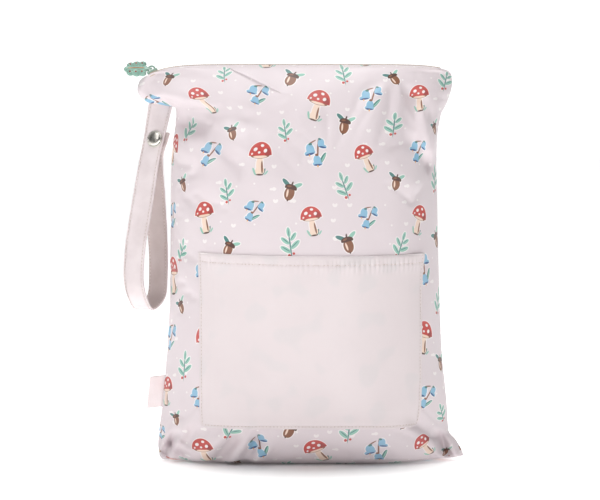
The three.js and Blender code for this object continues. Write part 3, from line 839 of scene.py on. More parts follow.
def makePrint():
    look = printLook
    tree, start, end = newGroup("print", [("x", "Float"), ("y", "Float")], [("colour", "Color")])
    x, y = start[0], start[1]

    # small white hearts, dots and clouds first
    size = look["fillerCell"]
    local, chance = cellOf(tree, x, y, size, size, look["fillerSeed"])[:2]
    here = joinParts(tree, *jittered(tree, local, chance, look["fillerJitter"]), 1)
    heart = calc(tree, "MAXIMUM", *[spot(tree, here, *part) for part in look["heart"]])
    dot = spot(tree, here, *look["dot"])
    cloud = calc(tree, "MAXIMUM", *[spot(tree, here, *part) for part in look["cloud"]])
    isHeart = calc(tree, "LESS_THAN", chance[2], look["heartBelow"])
    isDot = calc(tree, "GREATER_THAN", chance[2], look["dotAbove"])
    isCloud = calc(tree, "COMPARE", chance[2], *look["cloudAt"])
    filler = calc(tree, "MULTIPLY", heart, isHeart)
    filler = calc(tree, "MULTIPLY_ADD", dot, isDot, filler)
    filler = calc(tree, "MULTIPLY_ADD", cloud, isCloud, filler)
    filler = calc(tree, "MULTIPLY", filler, look["fillerStrength"])
    colour = mixColour(tree, filler, look["ground"], look["halo"])

    # then two lattices of motifs, each between the other's
    motifs = ((("toadstool", toadstool), ("bluebell", bluebell)),
              (("sprig", sprig), ("acorn", acorn)))
    width, height = look["cell"]
    least, most = look["shrink"]
    for pair, shift, seed in zip(motifs, (0.0, 0.5), look["seeds"]):
        movedX = calc(tree, "ADD", x, shift * width + look["shift"][0])
        movedY = calc(tree, "ADD", y, shift * height + look["shift"][1])
        local, chance, cell = cellOf(tree, movedX, movedY, width, height, seed)
        localX, localY = jittered(tree, local, chance, look["jitter"])
        lean = centred(tree, chance[2], look["lean"])
        shrink = calc(tree, "MULTIPLY_ADD", chance[0], most - least, least)
        cosine = calc(tree, "MULTIPLY", calc(tree, "COSINE", lean), shrink)
        sine = calc(tree, "MULTIPLY", calc(tree, "SINE", lean), shrink)
        leanedX = calc(tree, "SUBTRACT", calc(tree, "MULTIPLY", localX, cosine),
                       calc(tree, "MULTIPLY", localY, sine))
        leanedY = calc(tree, "MULTIPLY_ADD", localX, sine, calc(tree, "MULTIPLY", localY, cosine))
        leaned = joinParts(tree, leanedX, leanedY, 1)
        kind = calc(tree, "FLOORED_MODULO", calc(tree, "ADD", cell[1], cell[0]), 2.0)
        for number, (name, motif) in enumerate(pair):
            drawn, alpha = useGroup(tree, makeMotif(name, motif), leaned)
            chosen = calc(tree, "COMPARE", kind, float(number), 0.1)
            colour = mixColour(tree, calc(tree, "MULTIPLY", alpha, chosen), colour, drawn)
    tree.links.new(colour, end[0])
    return tree


clothLook = {
    "pitch": 0.45, "depth": 0.03, "weave": 0.4,  # one thread, its height, strength of the weave
    "slub": (90.0, 4.0), "slubDepth": 0.35, "slubStrength": 0.5,
    "sheen": {"Sheen Weight": 0.15, "Sheen Roughness": 0.4},
}
stripLook = {
    "depth": 0.05, "weaveTone": 0.25, "wearTone": 0.6, "glossSpread": 0.06,
    "dip": (0.1, 0.9), "dipShadeShare": 0.35, "dipShadeColour": srgb(186, 168, 166),  # painted shade where the cloth dips along the stitches
    "dipReach": 1.2, "dipDepth": 0.3, "dipStrength": 0.8,
}


def flatMap(tree):
    sheet = addNode(tree, "UVMap", uv_map="flat")
    parts = feedAll(tree, addNode(tree, "SeparateXYZ"), [sheet.outputs[0]])
    return parts["X"], parts["Y"]


def flatPlace(tree):
    # millimetres of flat cloth, across and along
    x, y = flatMap(tree)
    return (calc(tree, "MULTIPLY", x, float(bagShape["flatWidth"])),
            calc(tree, "MULTIPLY", y, float(clothLength)))


def weave(tree, x, y, pitch):
    # threads over and under, as a height from 0 to 1
    turn = 2 * math.pi / pitch
    warp = calc(tree, "SINE", calc(tree, "MULTIPLY", x, turn))
    weft = calc(tree, "SINE", calc(tree, "MULTIPLY", y, turn))
    return calc(tree, "MULTIPLY_ADD", calc(tree, "MULTIPLY", warp, weft), 0.5, 0.5)


def clothNormal(tree, x, y, pitch, depth):
    look = clothLook
    waves = noise(tree, objectPlace(tree), *look["slub"])
    slub = bump(tree, waves, look["slubDepth"] * mm, look["slubStrength"])
    return bump(tree, weave(tree, x, y, pitch), depth * mm, look["weave"], slub)


def makePrintedCloth():
    material, tree, shader = newMaterial("printedCloth")
    x, y = flatPlace(tree)
    colour = useGroup(tree, makePrint(), x, y)[0]
    mottle = uneven(tree, 26.0, 3.0, 0.3, 0.7, 0.0, 0.10)
    dress(tree, shader, {
        "Base Color": mixColour(tree, mottle, colour, srgb(196, 180, 186)),
        "Roughness": uneven(tree, 60.0, 2.0, 0.3, 0.7, 0.46, 0.6),
        "Normal": clothNormal(tree, x, y, clothLook["pitch"], clothLook["depth"]),
        **clothLook["sheen"],
    })
    return material


def makePocketCloth():
    material, tree, shader = newMaterial("pocketCloth")
    x, y = flatPlace(tree)
    tone = uneven(tree, 30.0, 3.0, 0.3, 0.7, 0.0, 0.2)
    plain = mixColour(tree, tone, srgb(223, 212, 213), srgb(213, 202, 204))
    # the print behind it shows through as faint cool patches
    patches = uneven(tree, 64.0, 0.0, 0.56, 0.74, 0.0, 0.14)
    dress(tree, shader, {
        "Base Color": mixColour(tree, patches, plain, srgb(190, 198, 198)),
        "Roughness": uneven(tree, 60.0, 2.0, 0.3, 0.7, 0.5, 0.64),
        "Normal": clothNormal(tree, x, y, clothLook["pitch"], clothLook["depth"]),
        **clothLook["sheen"],
    })
    return material


def makePlainCloth(name, light, dark, pitch, roughness, seam=0.0):
    # woven strip or ribbon with its own flat map in millimetres
    look = stripLook
    material, tree, shader = newMaterial(name)
    x, y = flatMap(tree)
    worn = uneven(tree, 70.0, 3.0, 0.3, 0.75)
    shade = calc(tree, "MULTIPLY_ADD", weave(tree, x, y, pitch), look["weaveTone"],
                 calc(tree, "MULTIPLY", worn, look["wearTone"]))
    colour = mixColour(tree, shade, srgb(*light), srgb(*dark))
    normal = clothNormal(tree, x, y, pitch, look["depth"])
    if seam:  # the cloth dips along a line of stitches on each side, darkened there as painted shade
        away = calc(tree, "ABSOLUTE", calc(tree, "SUBTRACT", calc(tree, "ABSOLUTE", x), seam))
        dip = calc(tree, "MULTIPLY", ramp(tree, away, *look["dip"], 1.0, 0.0), look["dipShadeShare"])
        colour = mixColour(tree, dip, colour, look["dipShadeColour"])
        normal = bump(tree, ramp(tree, away, 0.0, look["dipReach"]), look["dipDepth"] * mm,
                      look["dipStrength"], normal)
    spread = look["glossSpread"]
    dress(tree, shader, {
        "Base Color": colour,
        "Roughness": ramp(tree, worn, 0, 1, roughness - spread, roughness + spread),
        "Normal": normal,
        **clothLook["sheen"],
    })
    return material


def makeSolidFinish(name, light, dark, roughness, grain, depth, metallic=0.0):
    # moulded or cast finish: uneven tone and gloss with a fine grain
    material, tree, shader = newMaterial(name)
    place = objectPlace(tree)
    worn = ramp(tree, noise(tree, place, grain / 6, 3.0), 0.3, 0.7)
    spread = stripLook["glossSpread"]
    dress(tree, shader, {
        "Base Color": mixColour(tree, worn, srgb(*light), srgb(*dark)),
        "Roughness": ramp(tree, worn, 0, 1, roughness - spread, roughness + spread),
        "Normal": bump(tree, noise(tree, place, grain, 3.0), depth * mm, 0.4),
        "Metallic": metallic,
    })
    return material


wovenCloths = (  # name, light, dark, pitch, roughness, seam
    ("strapCloth", (230, 219, 220), (212, 199, 200), 0.5, 0.6, 7.2),
    # a darker copy of strapCloth: painted shade on the inside of the loop
    ("strapInsidePaintedShade", (208, 194, 192), (192, 176, 173), 0.5, 0.66, 7.2),
    ("ribbonCloth", (247, 236, 236), (234, 220, 221), 0.4, 0.6),
    ("tapeCloth", (208, 190, 174), (180, 160, 142), 0.6, 0.75),
)
solidFinishes = (  # name, light, dark, roughness, grain, its depth, metallic
    ("thread", (232, 222, 220), (214, 201, 198), 0.7, 4000.0, 0.05),
    # lighter than the pocket cloth: a painted highlight on the mouth's roll
    ("foldPaintedHighlight", (246, 239, 239), (238, 229, 230), 0.6, 1500.0, 0.03),
    # dark balls in the stitch gaps: painted shade in the holes
    ("holeShade", (208, 192, 184), (194, 177, 169), 0.8, 4000.0, 0.05),
    ("coilNylon", (206, 188, 172), (184, 164, 148), 0.4, 2000.0, 0.02),
    ("sliderLacquer", (166, 194, 180), (144, 174, 160), 0.34, 900.0, 0.02),
    ("mintRubber", (150, 186, 170), (122, 160, 146), 0.52, 1500.0, 0.03),
    ("dotRubber", (158, 74, 60), (128, 58, 50), 0.5, 1500.0, 0.03),
    ("veinRubber", (206, 132, 74), (184, 108, 60), 0.5, 1500.0, 0.03),
    ("nickel", (228, 224, 216), (208, 204, 196), 0.32, 1200.0, 0.01, 1.0),
)
finish = {"printedCloth": makePrintedCloth(), "pocketCloth": makePocketCloth()}
finish.update({cloth[0]: makePlainCloth(*cloth) for cloth in wovenCloths})
finish.update({solid[0]: makeSolidFinish(*solid) for solid in solidFinishes})
print("finishes made")


# Front and back cloth

rowCount, columnCount = frontPoints.shape[:2]
flatAcross, flatAlong = np.linspace(0, 1, columnCount), np.linspace(0, 1, rowCount)
flatFront = flatGrid(flatAcross, flatAlong)
flatBack = flatGrid(bagShape["backShift"] - flatAcross, flatAlong)

frontCloth = clothPiece("frontCloth", frontPoints, flatFront, finish["printedCloth"])
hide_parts("front_panel")
backCloth = clothPiece("backCloth", backPoints, flatBack, finish["printedCloth"], flip=True)
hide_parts("back_panel")
for panel in (frontCloth, backCloth):
    thicken(panel, bagShape["cloth"] * mm, -1)
print("panels made")


# Stitches: small raised threads, set along a line of points

stitchLook = {
    "length": 1.9, "gap": 0.7, "width": 0.6, "height": 0.42, "hole": (0.42, 0.36, 0.2),
    "cells": (6, 4), "ahead": 0.2,
}


def alongLine(points, normals, pitch):
    # even steps along a line: point, direction and normal at each
    run = walkedAlong(points)
    count = max(2, int(run[-1] / pitch))
    marks = (np.arange(count) + 0.5) * run[-1] / count
    reach = pitch * stitchLook["ahead"]

    def read(values, at):
        return np.stack([np.interp(at, run, values[:, k]) for k in range(3)], axis=1)

    ahead = read(points, marks + reach) - read(points, marks - reach)
    return read(points, marks), ahead, read(normals, marks)


def axesMatrix(place, forward, up):
    # x along forward, z along up
    x = Vector(forward).normalized()
    side = Vector(up).cross(x).normalized()
    matrix = Matrix((x, side, x.cross(side))).transposed().to_4x4()
    matrix.translation = Vector(place)
    return matrix


def sewLines(name, lines, withHoles=True):
    # threads, and between them small dark balls, painted shade in the holes that they go down into
    look = stitchLook
    pitch = (look["length"] + look["gap"]) * mm
    size = Matrix.Diagonal([look[part] * mm / 2 for part in ("length", "width", "height")] + [1])
    hole = Matrix.Diagonal([part * mm for part in look["hole"]] + [1])
    hole = Matrix.Translation((pitch / 2, 0, 0)) @ hole
    threads, holes = [], []
    for points, normals in lines:
        for step in zip(*alongLine(points, normals, pitch)):
            seat = axesMatrix(*step)
            threads.append(seat @ size)
            holes.append(seat @ hole)
    made = [repeatBall(name, threads, finish["thread"], look["cells"])]
    if withHoles:
        made.append(repeatBall(name + "Holes", holes, finish["holeShade"], look["cells"]))
    return made


frontNormals = surfaceNormals(frontPoints)
backNormals = -surfaceNormals(backPoints)


underside = {"below": 4, "penalty": 0.5}


def findOnFront(x, z):
    # row and column of the front cloth that is seen at x, z, not of its underside
    gap = np.hypot(frontPoints[..., 0] - x * mm, frontPoints[..., 2] - z * mm)
    low = np.maximum(0, underside["below"] * mm - frontPoints[..., 2])
    gap = gap + underside["penalty"] * low
    row, column = np.unravel_index(np.argmin(gap), gap.shape)
    row, column = np.clip(row, 1, rowCount - 2), np.clip(column, 1, columnCount - 2)
    rowStep = (frontPoints[row + 1, column] - frontPoints[row - 1, column]) / 2
    columnStep = (frontPoints[row, column + 1] - frontPoints[row, column - 1]) / 2
    miss = np.array([x, z]) * mm - frontPoints[row, column, [0, 2]]
    slope = np.array([[rowStep[0], columnStep[0]], [rowStep[2], columnStep[2]]])
    return np.array([row, column]) + np.clip(np.linalg.solve(slope, miss), -1, 1)


def flatOnFront(row, column):
    return np.stack([column / (columnCount - 1), row / (rowCount - 1)], axis=2)


def makeTuckLip():
    # the folded edge of the tuck: a slender flap that rises towards its lower edge
    start, end = np.array(tuck["start"]), np.array(tuck["end"])
    line = (end - start) / np.linalg.norm(end - start)
    upward = np.array([-line[1], line[0]])
    rows, columns = tuck["lipCells"]
    spots = np.zeros((rows, columns, 2))
    lift = np.zeros((rows, columns))
    for c, share in enumerate(np.linspace(*tuck["lipSpan"], columns)):
        wide = math.sqrt(math.sin(math.pi * share))
        for r, over in enumerate(np.linspace(0, 1, rows)):
            place = start + (end - start) * share + upward * over * tuck["lip"] * wide
            spots[r, c] = findOnFront(*place)
            rise = tuck["lipRise"] * wide * (1 - over) ** tuck["lipCurl"]
            lift[r, c] = rise - tuck["lipSink"] * over
    row, column = spots[..., 0], spots[..., 1]
    normals = gridValue(frontNormals, row, column)
    points = gridValue(frontPoints, row, column) + normals * lift[..., None] * mm
    lip = clothPiece("tuckLip", points, flatOnFront(row, column), finish["printedCloth"])
    thicken(lip, tuck["lipCloth"] * mm, 0)
    return lip


tuckLip = makeTuckLip()


edgeSeam = {"below": 3.2, "span": (0.045, 0.965), "steps": 160, "lift": 0.1}


def zipEdgeLine(points, normals):
    row = np.full(edgeSeam["steps"], (rowCount - 1) * (1 - edgeSeam["below"] / clothLength))
    column = np.linspace(*edgeSeam["span"], edgeSeam["steps"]) * (columnCount - 1)
    up = gridValue(normals, row, column)
    return gridValue(points, row, column) + up * edgeSeam["lift"] * mm, up


sewLines("zipStitches", [
    zipEdgeLine(frontPoints, frontNormals),
    zipEdgeLine(backPoints, backNormals),
], withHoles=False)


def addWire(bm, path, radius, closed=False, sides=10):
    # a round wire: a circle carried along the path
    rings = []
    count = len(path)
    for i, place in enumerate(path):
        before = path[i - 1] if i or closed else path[0]
        after = path[(i + 1) % count] if i + 1 < count or closed else path[-1]
        ahead = (Vector(after) - Vector(before)).normalized()
        turn = ahead.to_track_quat("Z", "Y").to_matrix().to_4x4()
        matrix = Matrix.Translation(Vector(place)) @ turn
        ring = bmesh.ops.create_circle(bm, cap_ends=False, radius=radius, segments=sides,
                                       matrix=matrix)
        rings.append(ring["verts"])
    pairs = list(zip(rings, rings[1:])) + ([(rings[-1], rings[0])] if closed else [])
    for low, high in pairs:
        edges = [e for e in {e for v in low + high for e in v.link_edges}
                 if all(v in low for v in e.verts) or all(v in high for v in e.verts)]
        bmesh.ops.bridge_loops(bm, edges=edges)
    if not closed:
        for ring in (rings[0], rings[-1]):
            bmesh.ops.contextual_create(bm, geom=list({e for v in ring for e in v.link_edges
                                                       if all(w in ring for w in e.verts)}))


# Patch pocket: laid on the front cloth, sewn on three sides, its mouth hemmed

pocketLook = {
    "corners": {  # x, z of the pocket's edge
        "footLeft": (-75.0, 30.0), "foot": (5.0, 30.0), "footRight": (84.8, 29.5),
        "mouthLeft": (-76.0, 158.2), "mouth": (4.0, 155.9), "mouthRight": (87.3, 156.7),
    },
    "columns": 220,
    "rows": 150,
    "cloth": 0.9,
    "fold": 0.6,
    "roll": (1.7, 1.15),  # the mouth's folded edge turns back over this height, by this much
    "seat": 0.5,
    "hem": 6.2,
    "edgeSeam": 1.9,
    "slack": 0.6,
    "mouthLift": 0.2,
    "cornerLift": 1.6,
    "rounding": (3.0, 7.0),  # lower left and lower right corner
    "gather": 3.2,  # spacing of the small gathers along the hem
    "gatherHeight": 0.42,
    "gatherReach": 4.5,
    "gatherLeast": 0.35,
    "puckers": (0.68, 0.2),  # place and width of the most gathered part
    "ripples": (0.3, 0.25),  # place and width of the longer waves beside it
    "rippleHeight": 0.5,
    "rippleReach": 7,
    "looseFrom": 14,  # distances over which the cloth comes free of its seams
    "mouthFrom": 26,
    "hemFrom": 10,
    "gatherFrom": 6,
    "rollFrom": 12,
    "cornerReach": (9, 10),
    "seamDepth": 0.3,
    "hemGroove": 0.9,
    "edgeGroove": 0.8,
    "easing": (0.55, 0.45),  # even and crowded share of the cells
    "threadSeat": 0.12,
    "seamSteps": 240,
    "seamEnd": 0.995,
    "foldSteps": 160,
    "foldSpan": (0.005, 0.995),
    "foldSeat": 0.6,
}
pocketAt = {name: findOnFront(*corner) for name, corner in pocketLook["corners"].items()}


def pocketGrid(share, up):
    # quadratic edges through three points, straight between foot and mouth
    ends = (2 * (share - 0.5) * (share - 1), 4 * share * (1 - share), 2 * share * (share - 0.5))
    edges = ("footLeft", "foot", "footRight"), ("mouthLeft", "mouth", "mouthRight")
    foot, mouth = [sum(e[..., None] * pocketAt[n] for e, n in zip(ends, names)) for names in edges]
    spot = foot * (1 - up[..., None]) + mouth * up[..., None]
    return spot[..., 0], spot[..., 1]


pocketSize = (170.0, 133.0)  # flat width and height of the pocket, from edge to edge


def pocketLift(share, up):
    # millimetres above the front cloth
    look = pocketLook
    fromSide = np.minimum(share, 1 - share) * pocketSize[0]
    fromFoot = up * pocketSize[1]
    fromMouth = (1 - up) * pocketSize[1]

    def free(distance, reach, least=0):
        return np.clip(distance / look[reach], least, 1)

    loose = free(fromSide, "looseFrom") * free(fromFoot, "looseFrom")
    lift = look["seat"] + look["slack"] * loose ** 2
    puckers = bell(share, *look["puckers"])
    waves = share * pocketSize[0] / look["gather"] * 2 * math.pi + 1.5 * np.sin(share * 31)
    gathers = np.sin(waves) * (look["gatherLeast"] + puckers)
    gathers = gathers * bell(fromMouth, look["hem"], look["gatherReach"])
    lift = lift + look["gatherHeight"] * gathers * free(fromSide, "gatherFrom")
    mouth = np.clip(1 - fromMouth / look["mouthFrom"], 0, 1) ** 2
    ripple = np.sin(share * 40 + 2.2 * np.sin(share * 9)) * puckers
    ripple = ripple + 0.5 * np.sin(share * 57 + 1) * bell(share, *look["ripples"])
    ripple = look["rippleHeight"] * (ripple + 0.6) * bell(fromMouth, look["hem"], look["rippleReach"])
    lift = lift + (look["mouthLift"] * mouth + ripple) * free(fromSide, "hemFrom")
    aside, below = look["cornerReach"]
    corner = np.exp(-(((1 - share) * pocketSize[0]) / aside) ** 2 - (fromMouth / below) ** 2)
    lift = lift + look["cornerLift"] * corner
    groove = bell(fromMouth, look["hem"], look["hemGroove"])
    for distance in (fromSide, fromFoot):
        groove = groove + bell(distance, look["edgeSeam"], look["edgeGroove"])
    height, depth = look["roll"]
    turned = np.clip(1 - fromMouth / height, 0, 1) ** 2 * free(fromSide, "rollFrom", 0.3)
    return lift - look["seamDepth"] * np.clip(groove, 0, 1) - depth * turned


def roundCorners(share, up):
    # the lower corners of the square patch are drawn in to a quarter of a circle
    for side, radius in zip((-1, 1), pocketLook["rounding"]):
        along = (share if side > 0 else 1 - share) * pocketSize[0]
        a = np.clip((along - (pocketSize[0] - radius)) / radius, 0, 1)
        b = np.clip((radius - up * pocketSize[1]) / radius, 0, 1)
        inCorner = (a > 0) & (b > 0)
        newA = a * np.sqrt(1 - b * b / 2)
        newB = b * np.sqrt(1 - a * a / 2)
        newShare = (pocketSize[0] - radius + radius * newA) / pocketSize[0]
        share = np.where(inCorner, newShare if side > 0 else 1 - newShare, share)
        up = np.where(inCorner, (radius - radius * newB) / pocketSize[1], up)
    return share, up


def pocketSurface(share, up, extra=0.0):
    # points, normals, and rows and columns of the front cloth below
    row, column = pocketGrid(*roundCorners(share, up))
    lift = (pocketLift(share, up) + extra) * mm
    normal = gridValue(frontNormals, row, column)
    return gridValue(frontPoints, row, column) + normal * lift[..., None], normal, (row, column)


def easedShares(count):
    # cells crowd towards the edges, where the seams are
    even = np.linspace(-1, 1, count + 1)
    plain, crowded = pocketLook["easing"]
    return 0.5 + 0.5 * (plain * even + crowded * np.sin(even * math.pi / 2))


shares, ups = np.meshgrid(easedShares(pocketLook["columns"]), easedShares(pocketLook["rows"]))
laid = pocketSurface(shares, ups)
pocket = clothPiece("pocketPatch", laid[0], flatOnFront(*laid[2]), finish["pocketCloth"])
thicken(pocket, pocketLook["cloth"] * mm, 1)
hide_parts("pocket")


def pocketSeam(shareLine, upLine):
    # one of the two is a number, the other a line of them
    share, up = np.broadcast_arrays(shareLine, upLine)
    return pocketSurface(share, up, pocketLook["cloth"] + pocketLook["threadSeat"])[:2]


inX = pocketLook["edgeSeam"] / pocketSize[0]
inZ = pocketLook["edgeSeam"] / pocketSize[1]
walk = np.linspace(0, 1, pocketLook["seamSteps"])
seamAcross = inX + walk * (1 - 2 * inX)
seamUp = inZ + walk * (1 - inZ) * pocketLook["seamEnd"]
pocketStitches = sewLines("pocketStitches", [
    pocketSeam(seamAcross, 1 - pocketLook["hem"] / pocketSize[1]),
    pocketSeam(inX, seamUp),
    pocketSeam(1 - inX, seamUp),
    pocketSeam(seamAcross, inZ),
])


def makeMouthFold():
    # the hem's folded edge, a thin roll along the mouth, lighter than the pocket as a painted
    # highlight
    look = pocketLook
    share = np.linspace(*look["foldSpan"], look["foldSteps"])
    line = pocketSurface(share, np.ones_like(share), look["cloth"] * look["foldSeat"])[0]
    bm = bmesh.new()
    addWire(bm, [Vector(point) for point in line], look["fold"] * mm, sides=8)
    bmesh.ops.recalc_face_normals(bm, faces=bm.faces)
    fold = finishMesh("pocketFold", bm, finish["foldPaintedHighlight"])
    return fold


mouthFold = makeMouthFold()
print("pocket made")


# Zip: two tapes, the coil's teeth, the slider and the moulded pull

zipLook = {
    "tapeEnd": 0.968,
    "coilEnd": 0.945,
    "tapeStations": 130,
    "tape": 0.5,
    "tapeBelow": (0.4, 2.5, 5.0, 8.0),  # how far down the inside of the cloth the tape runs
    "tapeSeat": 1.75,
    "tapeFrom": 1.6,  # from the middle of the zip, under the teeth
    "tapeDrop": 0.3,
    "tapeCrown": 0.4,
    "pitch": 1.25,
    "tooth": (0.5, 1.55, 0.85),
    "toothCells": (8, 5),
    "toothPlace": (0.95, 0.15),  # out from the middle, up
    "toothLean": 0.22,
    "ahead": 0.002,
}
topSection = dict(zip(bagShape["columns"], bagShape["sections"][-1]))


def zipPlace(across):
    across = np.asarray(across, dtype=float)
    top = topSection
    x = across * np.where(across < 0, top["left"], top["right"])
    rim = np.where(across < 0, top["leftZ"], top["rightZ"])
    return x, top["mid"] + (rim - top["mid"]) * np.abs(across) ** bagShape["rimSweep"]


def makeTape(name, points, normals, node, flip):
    # from the teeth out to the edge of the cloth, then down along its inside
    look = zipLook
    x, z = zipPlace(np.linspace(-look["tapeEnd"], look["tapeEnd"], look["tapeStations"] + 1))
    side = -1 if points[-1, columnCount // 2, 1] < 0 else 1
    column = np.interp(x * mm, points[-1, :, 0], np.arange(columnCount))
    teeth = np.stack([x, np.full_like(x, side * look["tapeFrom"]), z - look["tapeDrop"]], axis=1) * mm
    rows = []
    for below in look["tapeBelow"]:
        row = np.full_like(column, (rowCount - 1) * (1 - below / clothLength))
        inward = gridValue(normals, row, column) * look["tapeSeat"] * mm
        rows.append(gridValue(points, row, column) - inward)
    crown = np.array([0, 0, look["tapeCrown"] * mm])
    rows = [teeth, teeth * 0.5 + rows[0] * 0.5 + crown] + rows
    grid = np.stack(rows, axis=0)
    steps = np.linalg.norm(np.diff(grid, axis=0), axis=2)
    width = np.concatenate([np.zeros((1, len(x))), np.cumsum(steps, axis=0)]) / mm
    flat = np.stack([np.repeat(x[None], len(rows), 0), width], axis=2)
    tape = clothPiece(name, grid, flat, finish["tapeCloth"], flip)
    thicken(tape, look["tape"] * mm, 0)
    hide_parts(node)
    print("tape %s is %.1f mm wide" % (name, width[-1].mean()))


makeTape("frontTape", frontPoints, frontNormals, "zip_tape_front", True)
makeTape("backTape", backPoints, backNormals, "zip_tape_back", False)


def makeCoil():
    # teeth of the two sides take turns along the zip
    look = zipLook
    matrices = []
    size = Matrix.Diagonal([part * mm for part in look["tooth"]] + [1])
    ends = zipPlace([-look["coilEnd"], look["coilEnd"]])[0]
    count = int((ends[1] - ends[0]) / look["pitch"])
    out, up = look["toothPlace"]
    for i in range(2 * count):
        across = look["coilEnd"] * (2 * (i + 0.5) / (2 * count) - 1)
        x, z = zipPlace(across)
        ahead = zipPlace(across + look["ahead"])
        side = 1 if i % 2 else -1
        direction = (ahead[0] - x, 0.0, ahead[1] - z)
        place = Vector((x, side * out, z + up)) * mm
        lean = Matrix.Rotation(look["toothLean"] * side, 4, "Z")
        matrices.append(axesMatrix(place, direction, (0, 0, 1)) @ lean @ size)
    coil = repeatBall("zipCoil", matrices, finish["coilNylon"], look["toothCells"])
    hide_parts("zip_coil")


makeCoil()
print("tapes and coil made")

sliderLook = {
    "x": -112.0, "length": 8.0, "width": 7.6, "waist": 0.72, "waistFrom": 0.55,
    "plate": 1.1, "plateFloor": 1.5, "plateBevel": 0.4,
    "flange": 0.9, "flangeFloor": 0.4, "flangeBevel": 0.3,
    "bridgeHalf": 3.0, "bridgeNarrow": 0.86, "bridgeRise": 3.2, "bridgeSink": 0.4,
    "bridgeRound": 0.6, "bridgeSteps": 16, "bridgeWire": 0.62,
    "probe": 0.5,  # half the stretch that gives the slope of the zip
}
hinge = Vector(frame["joints"][0]["pos_m"])


def zipFrame(x):
    # lies along the zip at x, z up from it
    probe = sliderLook["probe"]
    xs, zs = zipPlace(np.array([x - probe, x, x + probe]) / topSection["left"])
    slope = math.atan2(zs[2] - zs[0], xs[2] - xs[0])
    place = Matrix.Translation(Vector((x, 0, float(zs[1]))) * mm)
    return place @ Matrix.Rotation(-slope, 4, "Y")


def addBlock(bm, centre, size, bevel):
    made = bmesh.ops.create_cube(bm, size=1)
    matrix = Matrix.Translation(Vector(centre)) @ Matrix.Diagonal((*size, 1))
    bmesh.ops.transform(bm, matrix=matrix, verts=made["verts"])
    edges = list({edge for vert in made["verts"] for edge in vert.link_edges})
    bmesh.ops.bevel(bm, geom=edges, offset=bevel, offset_type="OFFSET", segments=3, profile=0.5,
                    affect="EDGES", material=-1)


def makeSlider():
    look = sliderLook
    bm = bmesh.new()
    top = look["plateFloor"] + look["plate"]
    addBlock(bm, (0, 0, look["plateFloor"] + look["plate"] / 2),
             (look["length"], look["width"], look["plate"]), look["plateBevel"])
    rise = look["plateFloor"] - look["flangeFloor"] + look["plate"] / 2
    for side in (-1, 1):
        out = side * (look["width"] - look["flange"]) / 2
        addBlock(bm, (0, out, look["flangeFloor"] + rise / 2),
                 (look["length"], look["flange"], rise), look["flangeBevel"])
    for vert in bm.verts:  # the slider narrows towards its closed end
        share = (vert.co.x + look["length"] / 2) / look["length"]
        narrow = max(0.0, look["waistFrom"] - share) / look["waistFrom"]
        vert.co.y *= 1 - (1 - look["waist"]) * narrow
    arch = []
    for i in range(look["bridgeSteps"] + 1):
        angle = math.pi * i / look["bridgeSteps"]
        up = look["bridgeRise"] * math.sin(angle) ** look["bridgeRound"]
        along = look["bridgeHalf"] * math.cos(angle) * look["bridgeNarrow"]
        arch.append((along, 0, top - look["bridgeSink"] + up))
    addWire(bm, arch, look["bridgeWire"])
    bmesh.ops.recalc_face_normals(bm, faces=bm.faces)
    bmesh.ops.transform(bm, matrix=zipFrame(look["x"]) @ Matrix.Scale(mm, 4), verts=bm.verts)
    slider = finishMesh("zipSlider", bm, finish["sliderLacquer"])
    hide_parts("zip_slider")


makeSlider()

pullLook = {
    "rest": 21, "roll": 52,
    "stemStart": -3.0, "length": 17.2, "stem": (2.3, 1.7),
    "ends": ((-1.2, (2.0, 2.6, 1.6)), (-15.0, (2.4, 2.5, 1.6))),  # from the start of the stem
    "lobes": ((0.21, 1.0), (0.47, 1.02), (0.73, 0.9)),  # place and size
    "lobe": (3.3, 2.7, 2.2), "lobeOut": 4.0, "lobeTurn": 28, "voxel": 0.3, "smoothing": 5,
    "dot": (0.75, 0.75, 0.3), "dotSeat": 0.95, "dotCells": (10, 6),
    "vein": 0.28, "veinSpan": (0.06, 0.88), "veinRise": 1.72, "veinSink": 0.05, "veinBow": 0.8,
    "veinSteps": 12,
    "wire": 0.75, "armY": 1.75, "armLength": 4.6, "corner": 0.9, "cornerSteps": 4,
}


def pullMatrix():
    # the pull's own frame: hinge along y at the origin, the pull points along -x
    slope = zipFrame(sliderLook["x"]).to_3x3().to_4x4()
    rest = Matrix.Rotation(math.radians(pullLook["rest"]), 4, "Y")
    return Matrix.Translation(hinge) @ slope @ rest


def pullPiece(name, bm, material):
    bmesh.ops.transform(bm, matrix=pullMatrix() @ Matrix.Scale(mm, 4), verts=bm.verts)
    piece = finishMesh(name, bm, material, body="pull")
    return piece


def addBall(bm, centre, size, turn=0.0, segments=(14, 9)):
    roll = Matrix.Rotation(math.radians(pullLook["roll"]), 4, "X")
    matrix = (roll @ Matrix.Translation(Vector(centre))
              @ Matrix.Rotation(math.radians(turn), 4, "Z") @ Matrix.Diagonal((*size, 1)))
    bmesh.ops.create_uvsphere(bm, u_segments=segments[0], v_segments=segments[1], radius=1,
                              matrix=matrix)


def lobeSpots():
    look = pullLook
    for share, size in look["lobes"]:
        for side in (-1, 1):
            yield look["stemStart"] - look["length"] * share, side, size


